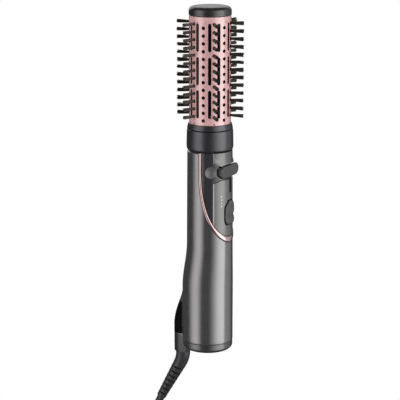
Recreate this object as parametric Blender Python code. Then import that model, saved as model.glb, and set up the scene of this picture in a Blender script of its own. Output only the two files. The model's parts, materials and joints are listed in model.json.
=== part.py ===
"""Hot air brush with a turning, perforated barrel, built as an assembly of separate pieces.

Frame: the handle's axis is Z and the origin is on it, in the middle of the hand grip. +Z points to the
brush tip, -Y is the front with the controls, and +Y is the rear, where the cord comes out.
Lengths are in millimetres and azimuths in degrees from the front, positive towards +X. make_object
turns them into metres.
"""

import math

import bmesh
import bpy
from mathutils import Matrix, Vector

METRES = 0.001
GAP = 0.3

# Handle, bottom to top
GRILLE_BOTTOM = -52.2
SHELL_BOTTOM = -44.2
SHELL_TOP = 132.0
WALL = 2.6
TOP_RADIUS = 20.1
WAIST_RADIUS = 20.6
LOWER_RADIUS = 22.8
LOWER_CENTRE = 2.1
WAIST_Z = 47.0
LOWER_Z = 6.0
RECESS_DEPTH = 1.8
CASING_SIDES = 36

# Hump at the rear, which carries the cord
HUMP_HALF_WIDTH = 10.0
HUMP_REAR = 35.3
HUMP_TOP = 10.0
HUMP_FULL = -34.0
HUMP_BOTTOM = -60.0
HUMP_WALL = 2.2
PAD_TOP = -11.0
FOOT_FRONT = 19.5
SWIVEL_RADIUS = 4.6
PAD_BOTTOM = -45.5
PAD_FRONT = 23.6

# U-shaped trim on the front and what it frames
TRIM_CENTRE_Z = 114.4
TRIM_DEPTH = 64.7
TRIM_HALF_ANGLE = 92.0
TRIM_SIDE_WIDTH = 2.2
TRIM_BOTTOM_WIDTH = 5.5
PANEL_HALF_ANGLE = 54.0
INLAY_DEPTHS = (1.5, 1.1)
PANEL_DEPTHS = (0.8, 0.0)

# Controls
ROCKER_Z = 114.7
ROCKER_HEIGHT = 10.6
ROCKER_HALF_LENGTH = 15.8
ROCKER_FACE_Y = -20.9
ROCKER_BACK_Y = -18.4
ROCKER_AXIS_Y = -15.4
WINDOW_HALF_LENGTH = 13.4
WINDOW_HALF_HEIGHT = 6.7
SWITCH_BOTTOM = 66.5
SWITCH_TOP = 88.0
SWITCH_TRAVEL = 8.1
SWITCH_HALF_ANGLE = 19.0
STEM_SPAN = (75.2, 79.2)
BUTTON_AZIMUTH = 60.0
BUTTON_RADIUS = 4.9

# Head: ring, collar, barrel and bristles
RING_BOTTOM = 132.4
RING_TOP = 149.3
COLLAR_TOP = 155.0
BARREL_RADIUS = 18.5
BARREL_WALL = 0.6
BARREL_TOP = 249.8
CAP_TOP = 257.9
CAP_RADIUS = 18.7
TIP_RADIUS = 30.5
ROWS = 6
ROW_AZIMUTH = -51.0
ROW_STEP = 60.0
HOLES_PER_ROW = 13
HOLE_PITCH = 6.72
TUFT_TOP_Z = 244.5
AIR_TOP_Z = 241.5
HOLE_HALF = 1.6
SLOT_OFFSET = 12.5
SLOT_HALF = 1.25
SLOT_SPANS = ((162.7, 187.5), (192.0, 216.3), (221.0, 245.4))
CORE_HUB_BOTTOM = 163.0
CORE_HUB_TOP = 169.0
CORE_RADIUS = 12.4
CORE_TOP = 242.7

# Drive
GEAR_Z = 46.0
GEAR_TEETH = 24
PINION_TEETH = 10
TOOTH_MODULE = 0.6
SHAFT_RADIUS = 1.5

# Cord: boot, free stretch, hank and plug
CORD_RADIUS = 3.5
EXIT_Y = 27.6
BOOT_TOP = -60.4
BOOT_DROP = 1.0
BOOT_BEND = 25.0
BOOT_ANGLE = 29.0
BOOT_TOP_RADIUS = 6.7
BOOT_END_RADIUS = 4.3
BOOT_STRAIGHT = 41.7
CORD_ROUTE = (
    (0.0, 51.0, -110.3),
    (0.0, 54.1, -116.6),
    (0.0, 56.4, -123.6),
    (0.0, 57.9, -130.9),
    (0.0, 58.4, -139.0),
    (0.0, 58.4, -150.0),
    (0.0, 58.4, -163.7),
)
HANK_Y = 51.2
HANK_TOP = -195.0
HANK_RUN = 120.0
HANK_BEND = 21.0
HANK_WAIST = 4.0
HANK_LAYER = 6.3
HANK_HALF_THICKNESS = 11.0
TAIL_X = 27.3
TAIL_Y = 54.8
TAIL_TOP = -335.5
TAIL_LENGTH = 12.0
PLUG_LENGTH = 36.0
PLUG_LEVELS = ((0, 4.6, 4.6), (7, 5.6, 5.4), (14, 11.6, 6.6), (34, 13.2, 6.8), (36, 12.4, 6.2))
PIN_LENGTH = 19.0
PIN_SPACING = 18.6

# Colour, roughness and metallic value of each finish
FINISHES = {
    "gunmetal": ((0.10, 0.10, 0.105), 0.28, 0.85),
    "dark_inlay": ((0.012, 0.012, 0.014), 0.12, 0.0),
    "rose_chrome": ((0.86, 0.56, 0.52), 0.08, 1.0),
    "rose_barrel": ((0.80, 0.56, 0.53), 0.22, 0.9),
    "soft_black": ((0.02, 0.02, 0.022), 0.55, 0.0),
    "control_grey": ((0.09, 0.09, 0.10), 0.45, 0.2),
    "ring_satin": ((0.03, 0.03, 0.038), 0.32, 0.3),
    "bristle_black": ((0.015, 0.013, 0.012), 0.5, 0.0),
    "cord_black": ((0.02, 0.02, 0.023), 0.5, 0.0),
    "inner_plastic": ((0.16, 0.16, 0.17), 0.5, 0.0),
    "steel": ((0.6, 0.6, 0.62), 0.3, 1.0),
    "brass": ((0.75, 0.6, 0.3), 0.3, 1.0),
    "mica": ((0.62, 0.5, 0.34), 0.6, 0.0),
    "board_green": ((0.03, 0.18, 0.07), 0.5, 0.0),
}

BODIES = {}


# ---------------------------------------------------------------- shapes of the casing

def smooth(value):
    """Eases 0..1 with flat ends."""
    value = min(max(value, 0.0), 1.0)
    return value * value * (3.0 - 2.0 * value)


def lower_share(z):
    """0 on the slim upper handle, 1 on the wider lower handle."""
    return smooth((WAIST_Z - z) / (WAIST_Z - LOWER_Z))


def body_centre(z):
    return LOWER_CENTRE * lower_share(z)


def body_radius(z):
    taper = (SHELL_TOP - z) / (SHELL_TOP - WAIST_Z)
    upper = TOP_RADIUS + (WAIST_RADIUS - TOP_RADIUS) * min(taper, 1.0)
    return upper + (LOWER_RADIUS - WAIST_RADIUS) * lower_share(z)


def skin(azimuth, z, inset=0.0):
    """Point on the casing's surface, or inset below it."""
    return around(azimuth, body_radius(z) - inset, z, body_centre(z))


def around(azimuth, radius, z, centre_y=0.0):
    angle = math.radians(azimuth)
    return (radius * math.sin(angle), centre_y - radius * math.cos(angle), z)


def hump_rear(z):
    start = LOWER_RADIUS + LOWER_CENTRE
    return start + (HUMP_REAR - start) * smooth((HUMP_TOP - z) / (HUMP_TOP - HUMP_FULL))


def hump_section(z, inset, front_y):
    """Outline of the hump at one height: straight sides and a round rear end."""
    half = HUMP_HALF_WIDTH - inset
    centre_y = hump_rear(z) - HUMP_HALF_WIDTH
    points = [(half, front_y, z)]
    for step in range(9):
        angle = math.pi * step / 8
        points.append((half * math.cos(angle), centre_y + half * math.sin(angle), z))
    points.append((-half, front_y, z))
    return points


def trim_edge(azimuth, inset):
    """Lowest z inside the U-shaped trim at this azimuth, inset from its outer edge."""
    half = TRIM_HALF_ANGLE - math.degrees(inset / WAIST_RADIUS)
    share = min(abs(azimuth) / half, 1.0)
    return TRIM_CENTRE_Z - (TRIM_DEPTH - inset) * math.sqrt(1.0 - share * share)


# ---------------------------------------------------------------- objects, bodies, materials

def clear_scene():
    for obj in list(bpy.data.objects):
        bpy.data.objects.remove(obj)


def finish(slot):
    """The material of one finish, made when it is first asked for."""
    material = bpy.data.materials.get(slot)
    if material:
        return material
    colour, roughness, metallic = FINISHES[slot]
    material = bpy.data.materials.new(slot)
    material.use_nodes = True
    shader = material.node_tree.nodes["Principled BSDF"]
    shader.inputs["Base Color"].default_value = (*colour, 1.0)
    shader.inputs["Roughness"].default_value = roughness
    shader.inputs["Metallic"].default_value = metallic
    return material


def make_body(name, pivot=(0.0, 0.0, 0.0), parent=None):
    """An empty on a joint's axis, which the pieces of that body hang from."""
    empty = bpy.data.objects.new(name, None)
    bpy.context.collection.objects.link(empty)
    BODIES[name] = (empty, Vector(pivot))
    if parent:
        empty.parent = BODIES[parent][0]
        empty.location = (Vector(pivot) - BODIES[parent][1]) * METRES
    else:
        empty.location = Vector(pivot) * METRES


def make_object(name, vertices, faces, slot, body):
    """A mesh object from points in millimetres, hung from its body's empty."""
    empty, pivot = BODIES[body]
    mesh = bpy.data.meshes.new(name)
    mesh.from_pydata([(Vector(v) - pivot) * METRES for v in vertices], [], faces)
    fix = bmesh.new()
    fix.from_mesh(mesh)
    bmesh.ops.recalc_face_normals(fix, faces=fix.faces)
    if fix.calc_volume(signed=True) < 0:
        bmesh.ops.reverse_faces(fix, faces=fix.faces)
    fix.to_mesh(mesh)
    fix.free()
    mesh.materials.append(finish(slot))
    shade(mesh)
    obj = bpy.data.objects.new(name, mesh)
    bpy.context.collection.objects.link(obj)
    obj.parent = empty
    return obj


def shade(mesh):
    mesh.shade_smooth()
    mesh.set_sharp_from_angle(angle=math.radians(35))


def combine(obj, other, operation):
    """Applies a Boolean with another object, which is then removed."""
    bpy.context.view_layer.update()
    modifier = obj.modifiers.new("boolean", "BOOLEAN")
    modifier.operation = operation
    modifier.solver = "EXACT"
    modifier.object = other
    graph = bpy.context.evaluated_depsgraph_get()
    result = bpy.data.meshes.new_from_object(obj.evaluated_get(graph))
    obj.modifiers.remove(modifier)
    obj.data = result
    result.name = obj.name
    bpy.data.objects.remove(other)
    shade(result)
    return obj


def cut(obj, cutter):
    return combine(obj, cutter, "DIFFERENCE")


def unite(obj, other):
    return combine(obj, other, "UNION")


# ---------------------------------------------------------------- shape makers

def close_sheet(points, faces, inner, outer):
    """Thickens a sheet of (azimuth, z) points between two surfaces, inner(a, z) and outer(a, z)."""
    count = len(points)
    vertices = [outer(*point) for point in points] + [inner(*point) for point in points]
    solid = [tuple(face) for face in faces]
    solid += [tuple(index + count for index in reversed(face)) for face in faces]
    edges = {}
    for face in faces:
        for start, end in zip(face, face[1:] + face[:1]):
            edges[(start, end)] = True
    for start, end in edges:
        if (end, start) not in edges:
            solid.append((end, start, start + count, end + count))
    return vertices, solid


def grid_sheet(rows, closed=False):
    """A sheet from rows of (azimuth, z) points, each row with the same number of points."""
    width = len(rows[0])
    points = [point for row in rows for point in row]
    faces = []
    steps = width if closed else width - 1
    for row in range(len(rows) - 1):
        for column in range(steps):
            right = (column + 1) % width
            low = row * width
            faces.append([low + column, low + right, low + width + right, low + width + column])
    return points, faces


def wrapped(name, rows, inset_in, inset_out, slot, body):
    """A curved plate that follows the casing, from its depths below the casing's surface."""
    points, faces = grid_sheet(rows)

    def inner(azimuth, z):
        return skin(azimuth, z, inset_in)

    def outer(azimuth, z):
        return skin(azimuth, z, inset_out)

    return make_object(name, *close_sheet(points, faces, inner, outer), slot, body)


def turned(name, profile, slot, body, centre=(0.0, 0.0), segments=24):
    """A turned piece: its closed (radius, z) outline swept round a vertical axis."""
    rings = []
    vertices = []
    for radius, z in profile:
        count = segments if radius > 1e-6 else 1
        rings.append((len(vertices), count))
        for step in range(count):
            angle = 2.0 * math.pi * step / segments
            x = centre[0] + radius * math.sin(angle)
            vertices.append((x, centre[1] - radius * math.cos(angle), z))
    faces = []
    for index, (first, first_count) in enumerate(rings):
        second, second_count = rings[(index + 1) % len(rings)]
        if first_count == 1 and second_count == 1:
            continue
        for step in range(segments):
            after = (step + 1) % segments
            face = [first + step % first_count, first + after % first_count]
            face += [second + after % second_count, second + step % second_count]
            faces.append(list(dict.fromkeys(face)))
    return make_object(name, vertices, faces, slot, body)


def ring_prism(name, outline, low, high, slot, body, centre=(0.0, 0.0), twist=0.0):
    """A prism with a bore, from (azimuth, inner radius, outer radius), turned by twist to its top."""
    count = len(outline)
    vertices = []
    for z, turn in ((low, 0.0), (high, twist)):
        for azimuth, inner, _ in outline:
            x, y, _ = around(azimuth + turn, inner, z, centre[1])
            vertices.append((x + centre[0], y, z))
        for azimuth, _, outer in outline:
            x, y, _ = around(azimuth + turn, outer, z, centre[1])
            vertices.append((x + centre[0], y, z))
    faces = []
    for step in range(count):
        after = (step + 1) % count
        low_in, low_out = (step, after), (count + step, count + after)
        high_in = (2 * count + step, 2 * count + after)
        high_out = (3 * count + step, 3 * count + after)
        faces.append((low_in[0], low_in[1], low_out[1], low_out[0]))
        faces.append((high_in[0], high_out[0], high_out[1], high_in[1]))
        faces.append((low_out[0], low_out[1], high_out[1], high_out[0]))
        faces.append((low_in[0], high_in[0], high_in[1], low_in[1]))
    return make_object(name, vertices, faces, slot, body)


def lofted(name, sections, slot, body):
    """A capped solid through closed sections with the same number of points."""
    count = len(sections[0])
    vertices = [point for section in sections for point in section]
    faces = [tuple(range(count)), tuple((len(sections) - 1) * count + i for i in range(count))]
    for level in range(len(sections) - 1):
        low = level * count
        for step in range(count):
            after = (step + 1) % count
            faces.append((low + step, low + after, low + count + after, low + count + step))
    return make_object(name, vertices, faces, slot, body)


def box(name, x_span, y_span, z_span, slot, body, chamfer=0.0):
    """A block whose four vertical edges are chamfered."""
    (x0, x1), (y0, y1) = x_span, y_span
    if chamfer:
        c = chamfer
        outline = [(x0 + c, y0), (x1 - c, y0), (x1, y0 + c), (x1, y1 - c)]
        outline += [(x1 - c, y1), (x0 + c, y1), (x0, y1 - c), (x0, y0 + c)]
    else:
        outline = [(x0, y0), (x1, y0), (x1, y1), (x0, y1)]
    sections = [[(x, y, z) for x, y in outline] for z in z_span]
    return lofted(name, sections, slot, body)


def tube_sections(path, radii, sides):
    """Round sections across a path in the plane x = 0, each given by (y, z) and its radius."""
    sections = []
    for index, ((y, z), radius) in enumerate(zip(path, radii)):
        before = path[max(index - 1, 0)]
        after = path[min(index + 1, len(path) - 1)]
        along = Vector((0.0, after[0] - before[0], after[1] - before[1])).normalized()
        across = Vector((0.0, -along.z, along.y))
        section = []
        for step in range(sides):
            angle = 2.0 * math.pi * step / sides
            side = Vector((1.0, 0.0, 0.0)) * math.cos(angle) + across * math.sin(angle)
            section.append(tuple(Vector((0.0, y, z)) + side * radius))
        sections.append(section)
    return sections


def cable(name, points, radius, resolution, slot, body):
    """A round cable through points in millimetres, as a curve with a bevel and filled caps."""
    empty, pivot = BODIES[body]
    curve = bpy.data.curves.new(name, "CURVE")
    curve.dimensions = "3D"
    curve.bevel_depth = radius * METRES
    curve.bevel_resolution = resolution
    curve.use_fill_caps = True
    spline = curve.splines.new("POLY")
    spline.points.add(len(points) - 1)
    for target, point in zip(spline.points, points):
        target.co = (*((Vector(point) - pivot) * METRES), 1.0)
    curve.materials.append(finish(slot))
    obj = bpy.data.objects.new(name, curve)
    bpy.context.collection.objects.link(obj)
    obj.parent = empty
    return obj


def smooth_route(route, spacing):
    """Points about one spacing apart on a smooth curve through the route's own points."""
    points = [Vector(point) for point in route]
    ends = [2 * points[0] - points[1]] + points + [2 * points[-1] - points[-2]]
    found = []
    for index in range(1, len(ends) - 2):
        a, b, c, d = ends[index - 1:index + 3]
        steps = max(1, round((c - b).length / spacing))
        for step in range(steps):
            t = step / steps
            bend = (2 * b) + (c - a) * t + (2 * a - 5 * b + 4 * c - d) * t * t
            found.append(0.5 * (bend + (3 * b - a - 3 * c + d) * t ** 3))
    found.append(points[-1])
    return found


# ---------------------------------------------------------------- casing

def casing_rings(inset, low, high):
    """Sections of the casing between two heights, inset below its surface."""
    heights = [low]
    heights += [z for z in (LOWER_Z, 14.0, 22.0, 30.0, 38.0, WAIST_Z) if low < z < high]
    heights.append(high)
    return [[skin(360.0 * i / CASING_SIDES, z, inset) for i in range(CASING_SIDES)] for z in heights]


def hump_solid(name, inset, heights, front_y):
    sections = [hump_section(z, inset, front_y) for z in heights]
    return lofted(name, sections, "gunmetal", "handle")


def main_housing():
    """Tube-shaped casing with the hump for the cord, the front recess and the openings for the controls."""
    shell = lofted("main_housing", casing_rings(0.0, SHELL_BOTTOM, SHELL_TOP), "gunmetal", "handle")
    rise = (HUMP_FULL, -26.0, -18.0, -10.0, -2.0)
    unite(shell, hump_solid("hump", 0.0, (HUMP_BOTTOM, *rise, HUMP_TOP), 16.0))
    cut(shell, lofted("bore", casing_rings(WALL, SHELL_BOTTOM - 1, SHELL_TOP + 1), "gunmetal", "handle"))
    cut(shell, hump_solid("channel", HUMP_WALL, (SHELL_BOTTOM, *rise, 2.0), 10.0))
    foot_floor = HUMP_BOTTOM + HUMP_WALL
    cut(shell, hump_solid("foot_hollow", HUMP_WALL, (foot_floor, SHELL_BOTTOM + 0.1), FOOT_FRONT + 2.0))
    cut(shell, box("underside", (-12, 12), (0, FOOT_FRONT), (-70, SHELL_BOTTOM), "gunmetal", "handle"))
    cut(shell, turned("exit", disc(SWIVEL_RADIUS + GAP, -62, -56), "gunmetal", "handle", (0, EXIT_Y)))
    recess = wrapped("recess", trim_rows(-GAP, SHELL_TOP + 1), RECESS_DEPTH, -3.0, "gunmetal", "handle")
    cut(shell, recess)
    cut(shell, pad_solid("pad_recess", 1.0, -2.0, PAD_BOTTOM - GAP, PAD_TOP + GAP, PAD_FRONT - GAP))
    for opening in control_openings():
        cut(shell, opening)


def pad_solid(name, inset_in, inset_out, low, high, front_y):
    """A plate wrapped round the rear and sides of the hump as far forward as front_y, between two depths."""
    sections = []
    for step in range(6):
        z = low + (high - low) * step / 5
        sections.append(pad_side(z, inset_out, front_y) + pad_side(z, inset_in, front_y)[::-1])
    return lofted(name, sections, "soft_black", "handle")


def pad_side(z, inset, front_y, steps=8):
    """Points on the hump at one height, from front_y on one side round the rear to the other side."""
    reach = HUMP_HALF_WIDTH - inset
    centre_y = hump_rear(z) - HUMP_HALF_WIDTH
    start = math.asin(min(max((front_y - centre_y) / reach, 0.0), 1.0))
    points = [(reach * math.cos(start), front_y, z)]
    for turn in range(steps + 1):
        angle = start + (math.pi - 2 * start) * (turn + 0.02) / (steps + 0.04)
        points.append((reach * math.cos(angle), centre_y + reach * math.sin(angle), z))
    points.append((-reach * math.cos(start), front_y, z))
    return points


def disc(radius, low, high):
    return [(0.0, low), (radius, low), (radius, high), (0.0, high)]


def tube(inner, outer, low, high):
    return [(inner, low), (outer, low), (outer, high), (inner, high)]


def trim_rows(inset, top, steps=18):
    """Rows of the area inside the trim: from its curved lower edge straight up to the top."""
    half = TRIM_HALF_ANGLE - math.degrees(inset / WAIST_RADIUS)
    azimuths = [half * math.sin(math.pi * (i / steps - 0.5)) for i in range(steps + 1)]
    low = [(a, trim_edge(a, inset)) for a in azimuths]
    rows = [low]
    rows.append([(a, top) for a, _ in low])
    return rows


def control_openings():
    """Cutters for the rocker's window, the slide switch's slot and the two button holes."""
    levels = ((-30.0, 0.0), (-12.0, 0.0))
    window = pill_block("window", WINDOW_HALF_LENGTH, WINDOW_HALF_HEIGHT, levels, ROCKER_Z)
    slot_span = (STEM_SPAN[0] - 0.7, STEM_SPAN[1] + SWITCH_TRAVEL + 0.7)
    slot = box("slot", (-2.4, 2.4), (-30, -12), slot_span, "gunmetal", "handle")
    return [window, slot] + [button_bore(side) for side in (-1, 1)]


def pill_block(name, half_length, half_height, levels, z, slot="gunmetal", body="handle"):
    """A bar along X with round ends, seen from the front; levels gives (y, growth of its outline)."""
    sections = []
    straight = half_length - half_height
    for y, grow in levels:
        outline = []
        for sign, start in ((1, -90), (-1, 90)):
            for step in range(7):
                angle = math.radians(start + 30 * step)
                reach = half_height + grow
                outline.append((sign * straight + reach * math.cos(angle), y, z + reach * math.sin(angle)))
        sections.append(outline)
    return lofted(name, sections, slot, body)


def radial_rod(name, azimuth, radius, r_span, z, slot, body, sides=16):
    """A round rod that points away from the axis."""
    angle = math.radians(azimuth)
    out = Vector((math.sin(angle), -math.cos(angle), 0.0))
    side = Vector((math.cos(angle), math.sin(angle), 0.0))
    sections = []
    for reach, size in r_span:
        section = []
        for step in range(sides):
            turn = 2 * math.pi * step / sides
            point = out * reach + side * (size * radius * math.cos(turn))
            section.append((point.x, point.y, z + size * radius * math.sin(turn)))
        sections.append(section)
    return lofted(name, sections, slot, body)


def button_bore(side):
    span = ((13.0, 1.0), (30.0, 1.0))
    radius = BUTTON_RADIUS + GAP
    return radial_rod("bore", side * BUTTON_AZIMUTH, radius, span, ROCKER_Z, "gunmetal", "handle")


def front_inlay():
    """Glossy dark plate that lines the recess inside the trim."""
    rows = trim_rows(TRIM_SIDE_WIDTH + GAP, SHELL_TOP)
    rows[0] = [(a, max(z, trim_edge(a, trim_width(a) + GAP))) for a, z in rows[0]]
    cut_openings(wrapped("front_inlay", rows, *INLAY_DEPTHS, "dark_inlay", "handle"))


def trim_width(azimuth):
    """The trim widens from its sides to its lowest point."""
    share = math.cos(math.radians(min(abs(azimuth) / TRIM_HALF_ANGLE, 1.0) * 90.0))
    return TRIM_SIDE_WIDTH + (TRIM_BOTTOM_WIDTH - TRIM_SIDE_WIDTH) * share ** 3


def trim_strip():
    """U-shaped strip: down one side, round below the controls and up the other side."""
    path = []
    for step in range(-16, 17):
        angle = math.radians(90.0 * step / 16)
        path.append((TRIM_HALF_ANGLE * math.sin(angle), TRIM_CENTRE_Z - TRIM_DEPTH * math.cos(angle)))
    path = [(-TRIM_HALF_ANGLE, SHELL_TOP)] + path + [(TRIM_HALF_ANGLE, SHELL_TOP)]
    rows = [path, [inside_trim(azimuth, z) for azimuth, z in path]]
    wrapped("trim_strip", rows, INLAY_DEPTHS[0], -0.15, "rose_chrome", "handle")


def inside_trim(azimuth, z):
    """The point on the trim's inner edge that faces a point on its outer edge."""
    degrees_per_mm = math.degrees(1.0 / WAIST_RADIUS)
    width = trim_width(azimuth)
    if z >= TRIM_CENTRE_Z:
        return (azimuth - math.copysign(width * degrees_per_mm, azimuth), z)
    across = azimuth / TRIM_HALF_ANGLE
    down = (z - TRIM_CENTRE_Z) / TRIM_DEPTH
    normal = Vector((across / (TRIM_HALF_ANGLE / degrees_per_mm), down / TRIM_DEPTH)).normalized()
    return (azimuth - normal.x * width * degrees_per_mm, z - normal.y * width)


def panel_azimuths():
    return [PANEL_HALF_ANGLE * step / 12 for step in range(-12, 13)]


def control_panel():
    """Raised panel below the rocker. Its lower edge follows the trim; its upper edge dips at the sides."""
    rows = []
    for share in (0.0, 0.35, 0.7, 1.0):
        row = []
        for azimuth in panel_azimuths():
            low = trim_edge(azimuth, trim_width(azimuth) + 2 * GAP)
            high = 107.4 - 2.3 * smooth((abs(azimuth) - 30.0) / 24.0)
            row.append((azimuth, low + (high - low) * share))
        rows.append(row)
    cut_openings(wrapped("control_panel", rows, *PANEL_DEPTHS, "gunmetal", "handle"))


def upper_panel():
    """The raised panel's part above the rocker."""
    rows = []
    for share in (0.0, 1.0):
        row = []
        for azimuth in panel_azimuths():
            low = 120.0 + 3.4 * smooth((abs(azimuth) - 28.0) / 26.0)
            row.append((azimuth, low + (SHELL_TOP - low) * share))
        rows.append(row)
    cut_openings(wrapped("upper_panel", rows, *PANEL_DEPTHS, "gunmetal", "handle"))


def cut_openings(obj):
    for opening in control_openings():
        cut(obj, opening)


# ---------------------------------------------------------------- controls

def curved_plate(name, azimuths, z_span, radii, slot, body):
    """A plate round the axis, given by its azimuth span, height span and two radii."""
    first, last = azimuths
    columns = [first + (last - first) * step / 4 for step in range(5)]
    points, faces = grid_sheet([[(azimuth, z) for azimuth in columns] for z in z_span])

    def inner(azimuth, z):
        return around(azimuth, radii[0], z)

    def outer(azimuth, z):
        return around(azimuth, radii[1], z)

    return make_object(name, *close_sheet(points, faces, inner, outer), slot, body)


def rocker():
    """Bar across the front on a hub that turns on a vertical pin."""
    levels = ((ROCKER_FACE_Y, -0.9), (ROCKER_FACE_Y + 0.8, 0.0), (ROCKER_BACK_Y, 0.0))
    bar = pill_block("rocker", ROCKER_HALF_LENGTH, ROCKER_HEIGHT / 2, levels, ROCKER_Z,
                     "control_grey", "rocker_body")
    hub = box("hub", (-3.0, 3.0), (ROCKER_BACK_Y - 0.5, ROCKER_AXIS_Y + 1.9),
              (ROCKER_Z - 4.3, ROCKER_Z + 4.3), "control_grey", "rocker_body", 0.8)
    unite(bar, hub)
    pin_bore = disc(1.2, ROCKER_Z - 9, ROCKER_Z + 9)
    cut(bar, turned("pin_bore", pin_bore, "steel", "rocker_body", (0, ROCKER_AXIS_Y), 12))
    pin = disc(0.9, ROCKER_Z - 7.0, ROCKER_Z + 7.0)
    turned("rocker_pin", pin, "steel", "handle", (0, ROCKER_AXIS_Y), 12)
    for side, word in ((-1, "left"), (1, "right")):
        x_span = sorted((side * 5.2, side * 10.0))
        z_span = (ROCKER_Z - 3.8, ROCKER_Z + 3.8)
        box("tact_switch_" + word, x_span, (-15.6, -13.4), z_span, "inner_plastic", "handle", 0.4)


def slide_switch():
    """Two-lobed knob on a stem that slides in a body behind the panel."""
    rows = []
    for step in range(9):
        share = step / 8
        z = SWITCH_BOTTOM + (SWITCH_TOP - SWITCH_BOTTOM) * share
        narrow = 1.0 - (2.0 * share - 1.0) ** 6 * 0.45
        half = (SWITCH_HALF_ANGLE - 2.0) * narrow
        rows.append([(half * (column / 3 - 1.0), z) for column in range(7)])
    knob = wrapped("slide_knob", rows, -0.35, -1.3, "control_grey", "knob_body")
    stem = box("stem", (-2.0, 2.0), (-21.2, -15.6), STEM_SPAN, "control_grey", "knob_body")
    unite(knob, stem)
    body = box("slide_switch_body", (-5.0, 5.0), (-16.4, -13.0), (64.0, 100.0),
               "inner_plastic", "handle")
    travel = (STEM_SPAN[0] - 1.0, STEM_SPAN[1] + SWITCH_TRAVEL + 1.0)
    cut(body, box("track", (-2.4, 2.4), (-17.0, -15.2), travel, "inner_plastic", "handle"))


def release_buttons():
    """Round buttons at the sides, each with an arm up to the hook that holds the head."""
    for side, word in ((-1, "left"), (1, "right")):
        azimuth = side * BUTTON_AZIMUTH
        body = "release_body_" + word
        steps = ((15.0, 1.14), (16.3, 1.14), (16.3, 1.0), (19.5, 1.0), (19.6, 0.9), (19.0, 0.6))
        name = "release_button_" + word
        button = radial_rod(name, azimuth, BUTTON_RADIUS, steps, ROCKER_Z, "gunmetal", body)
        arm = (azimuth - 9.0, azimuth + 9.0)
        unite(button, curved_plate("arm", arm, (112.0, 140.6), (15.4, 16.9), "gunmetal", body))
        unite(button, curved_plate("hook", arm, (137.4, 140.6), (15.4, 17.3), "gunmetal", body))
        spring = (azimuth - 16.0, azimuth + 16.0)
        curved_plate("release_spring_" + word, spring, (109.0, 120.0), (12.7, 13.1), "steel", "handle")


# ---------------------------------------------------------------- inside the handle

def star(arms, hub_radius, arm_radius, half_width, bore, first=0.0):
    """Polar outline of a hub with straight arms, as (azimuth, inner radius, outer radius)."""
    outline = []
    for arm in range(arms):
        centre = first + 360.0 * arm / arms
        for radius in (hub_radius, arm_radius):
            outline.append((centre - math.degrees(math.asin(half_width / radius)), bore, radius))
        for radius in (arm_radius, hub_radius):
            outline.append((centre + math.degrees(math.asin(half_width / radius)), bore, radius))
        outline.append((centre + 180.0 / arms, bore, hub_radius))
    return outline


def gear_outline(teeth, first, bore):
    """Straight-sided teeth, a little thin so that the pair runs with backlash."""
    pitch_radius = TOOTH_MODULE * teeth / 2
    pitch = 360.0 / teeth
    outline = []
    for tooth in range(teeth):
        centre = first + pitch * tooth
        root = pitch_radius - 1.15 * TOOTH_MODULE
        tip = pitch_radius + 0.8 * TOOTH_MODULE
        for share, radius in ((-0.27, root), (-0.11, tip), (0.11, tip), (0.27, root)):
            outline.append((centre + share * pitch, bore, radius))
    return outline


def drive_train():
    """Turning motor, its pinion, the gear and the hexagonal rod that turns the barrel."""
    gear_span = (GEAR_Z, GEAR_Z + 5.0)
    motor_y = TOOTH_MODULE * (GEAR_TEETH + PINION_TEETH) / 2
    gear = gear_outline(GEAR_TEETH, 180.0 / GEAR_TEETH, 2.05)
    ring_prism("drive_gear", gear, *gear_span, "inner_plastic", "drive_body")
    rod = disc(SHAFT_RADIUS + 0.2, GEAR_Z - 3.0, 168.0)
    turned("drive_shaft", rod, "steel", "drive_body", segments=6)
    teeth = gear_outline(PINION_TEETH, 0.0, 0.0)
    outline = [around(azimuth, radius, 0.0, motor_y) for azimuth, _, radius in teeth]
    sections = [[(x, y, z) for x, y, _ in outline] for z in gear_span]
    pinion = lofted("pinion", sections, "brass", "pinion_body")
    unite(pinion, turned("stub", disc(0.8, 30, GEAR_Z + 1), "brass", "pinion_body", (0, motor_y), 12))
    can = [(0, 27), (1.2, 27), (1.2, 43), (6.4, 43), (6.4, 14), (0, 14)]
    turned("turn_motor", can, "steel", "handle", (0, motor_y), 24)
    plate = star(3, 5.0, 17.2, 2.6, 2.4, 60.0)
    ring_prism("gear_plate", plate, 53.0, 55.0, "inner_plastic", "handle")
    spider = star(3, 4.2, 12.2, 1.0, 2.1, 30.0)
    ring_prism("shaft_bush", spider, 130.0, 134.0, "brass", "handle")


def heater():
    """Crossed mica plates with the wire wound round them, in a mica tube."""
    cross = star(4, 3.2, 8.6, 0.5, 2.3)
    ring_prism("heater_frame", cross, 64.0, 121.0, "mica", "handle")
    turned("heat_shield", tube(11.7, 12.3, 60.0, 128.0), "mica", "handle", segments=24)
    turns, per_turn = 6, 10
    coil = []
    for step in range(turns * per_turn + 1):
        share = step / (turns * per_turn)
        coil.append(around(360.0 * step / per_turn, 9.9, 68.0 + 48.0 * share))
    cable("heater_coil", coil, 0.6, 0, "steel", "handle")
    box("thermostat", (3.5, 9.0), (-2.2, 2.2), (122.0, 126.0), "inner_plastic", "handle", 0.5)
    box("circuit_board", (-8.0, 8.0), (14.0, 15.2), (60.0, 120.0), "board_green", "handle")
    neck = turned("neck_tube", tube(12.7, 13.5, 124.5, 158.0), "inner_plastic", "handle")
    for azimuth in (0.0, 130.0, -130.0):
        lug = (azimuth - 7.0, azimuth + 7.0)
        unite(neck, curved_plate("lug", lug, (124.5, 127.5), (13.2, 17.2), "inner_plastic", "handle"))


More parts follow.
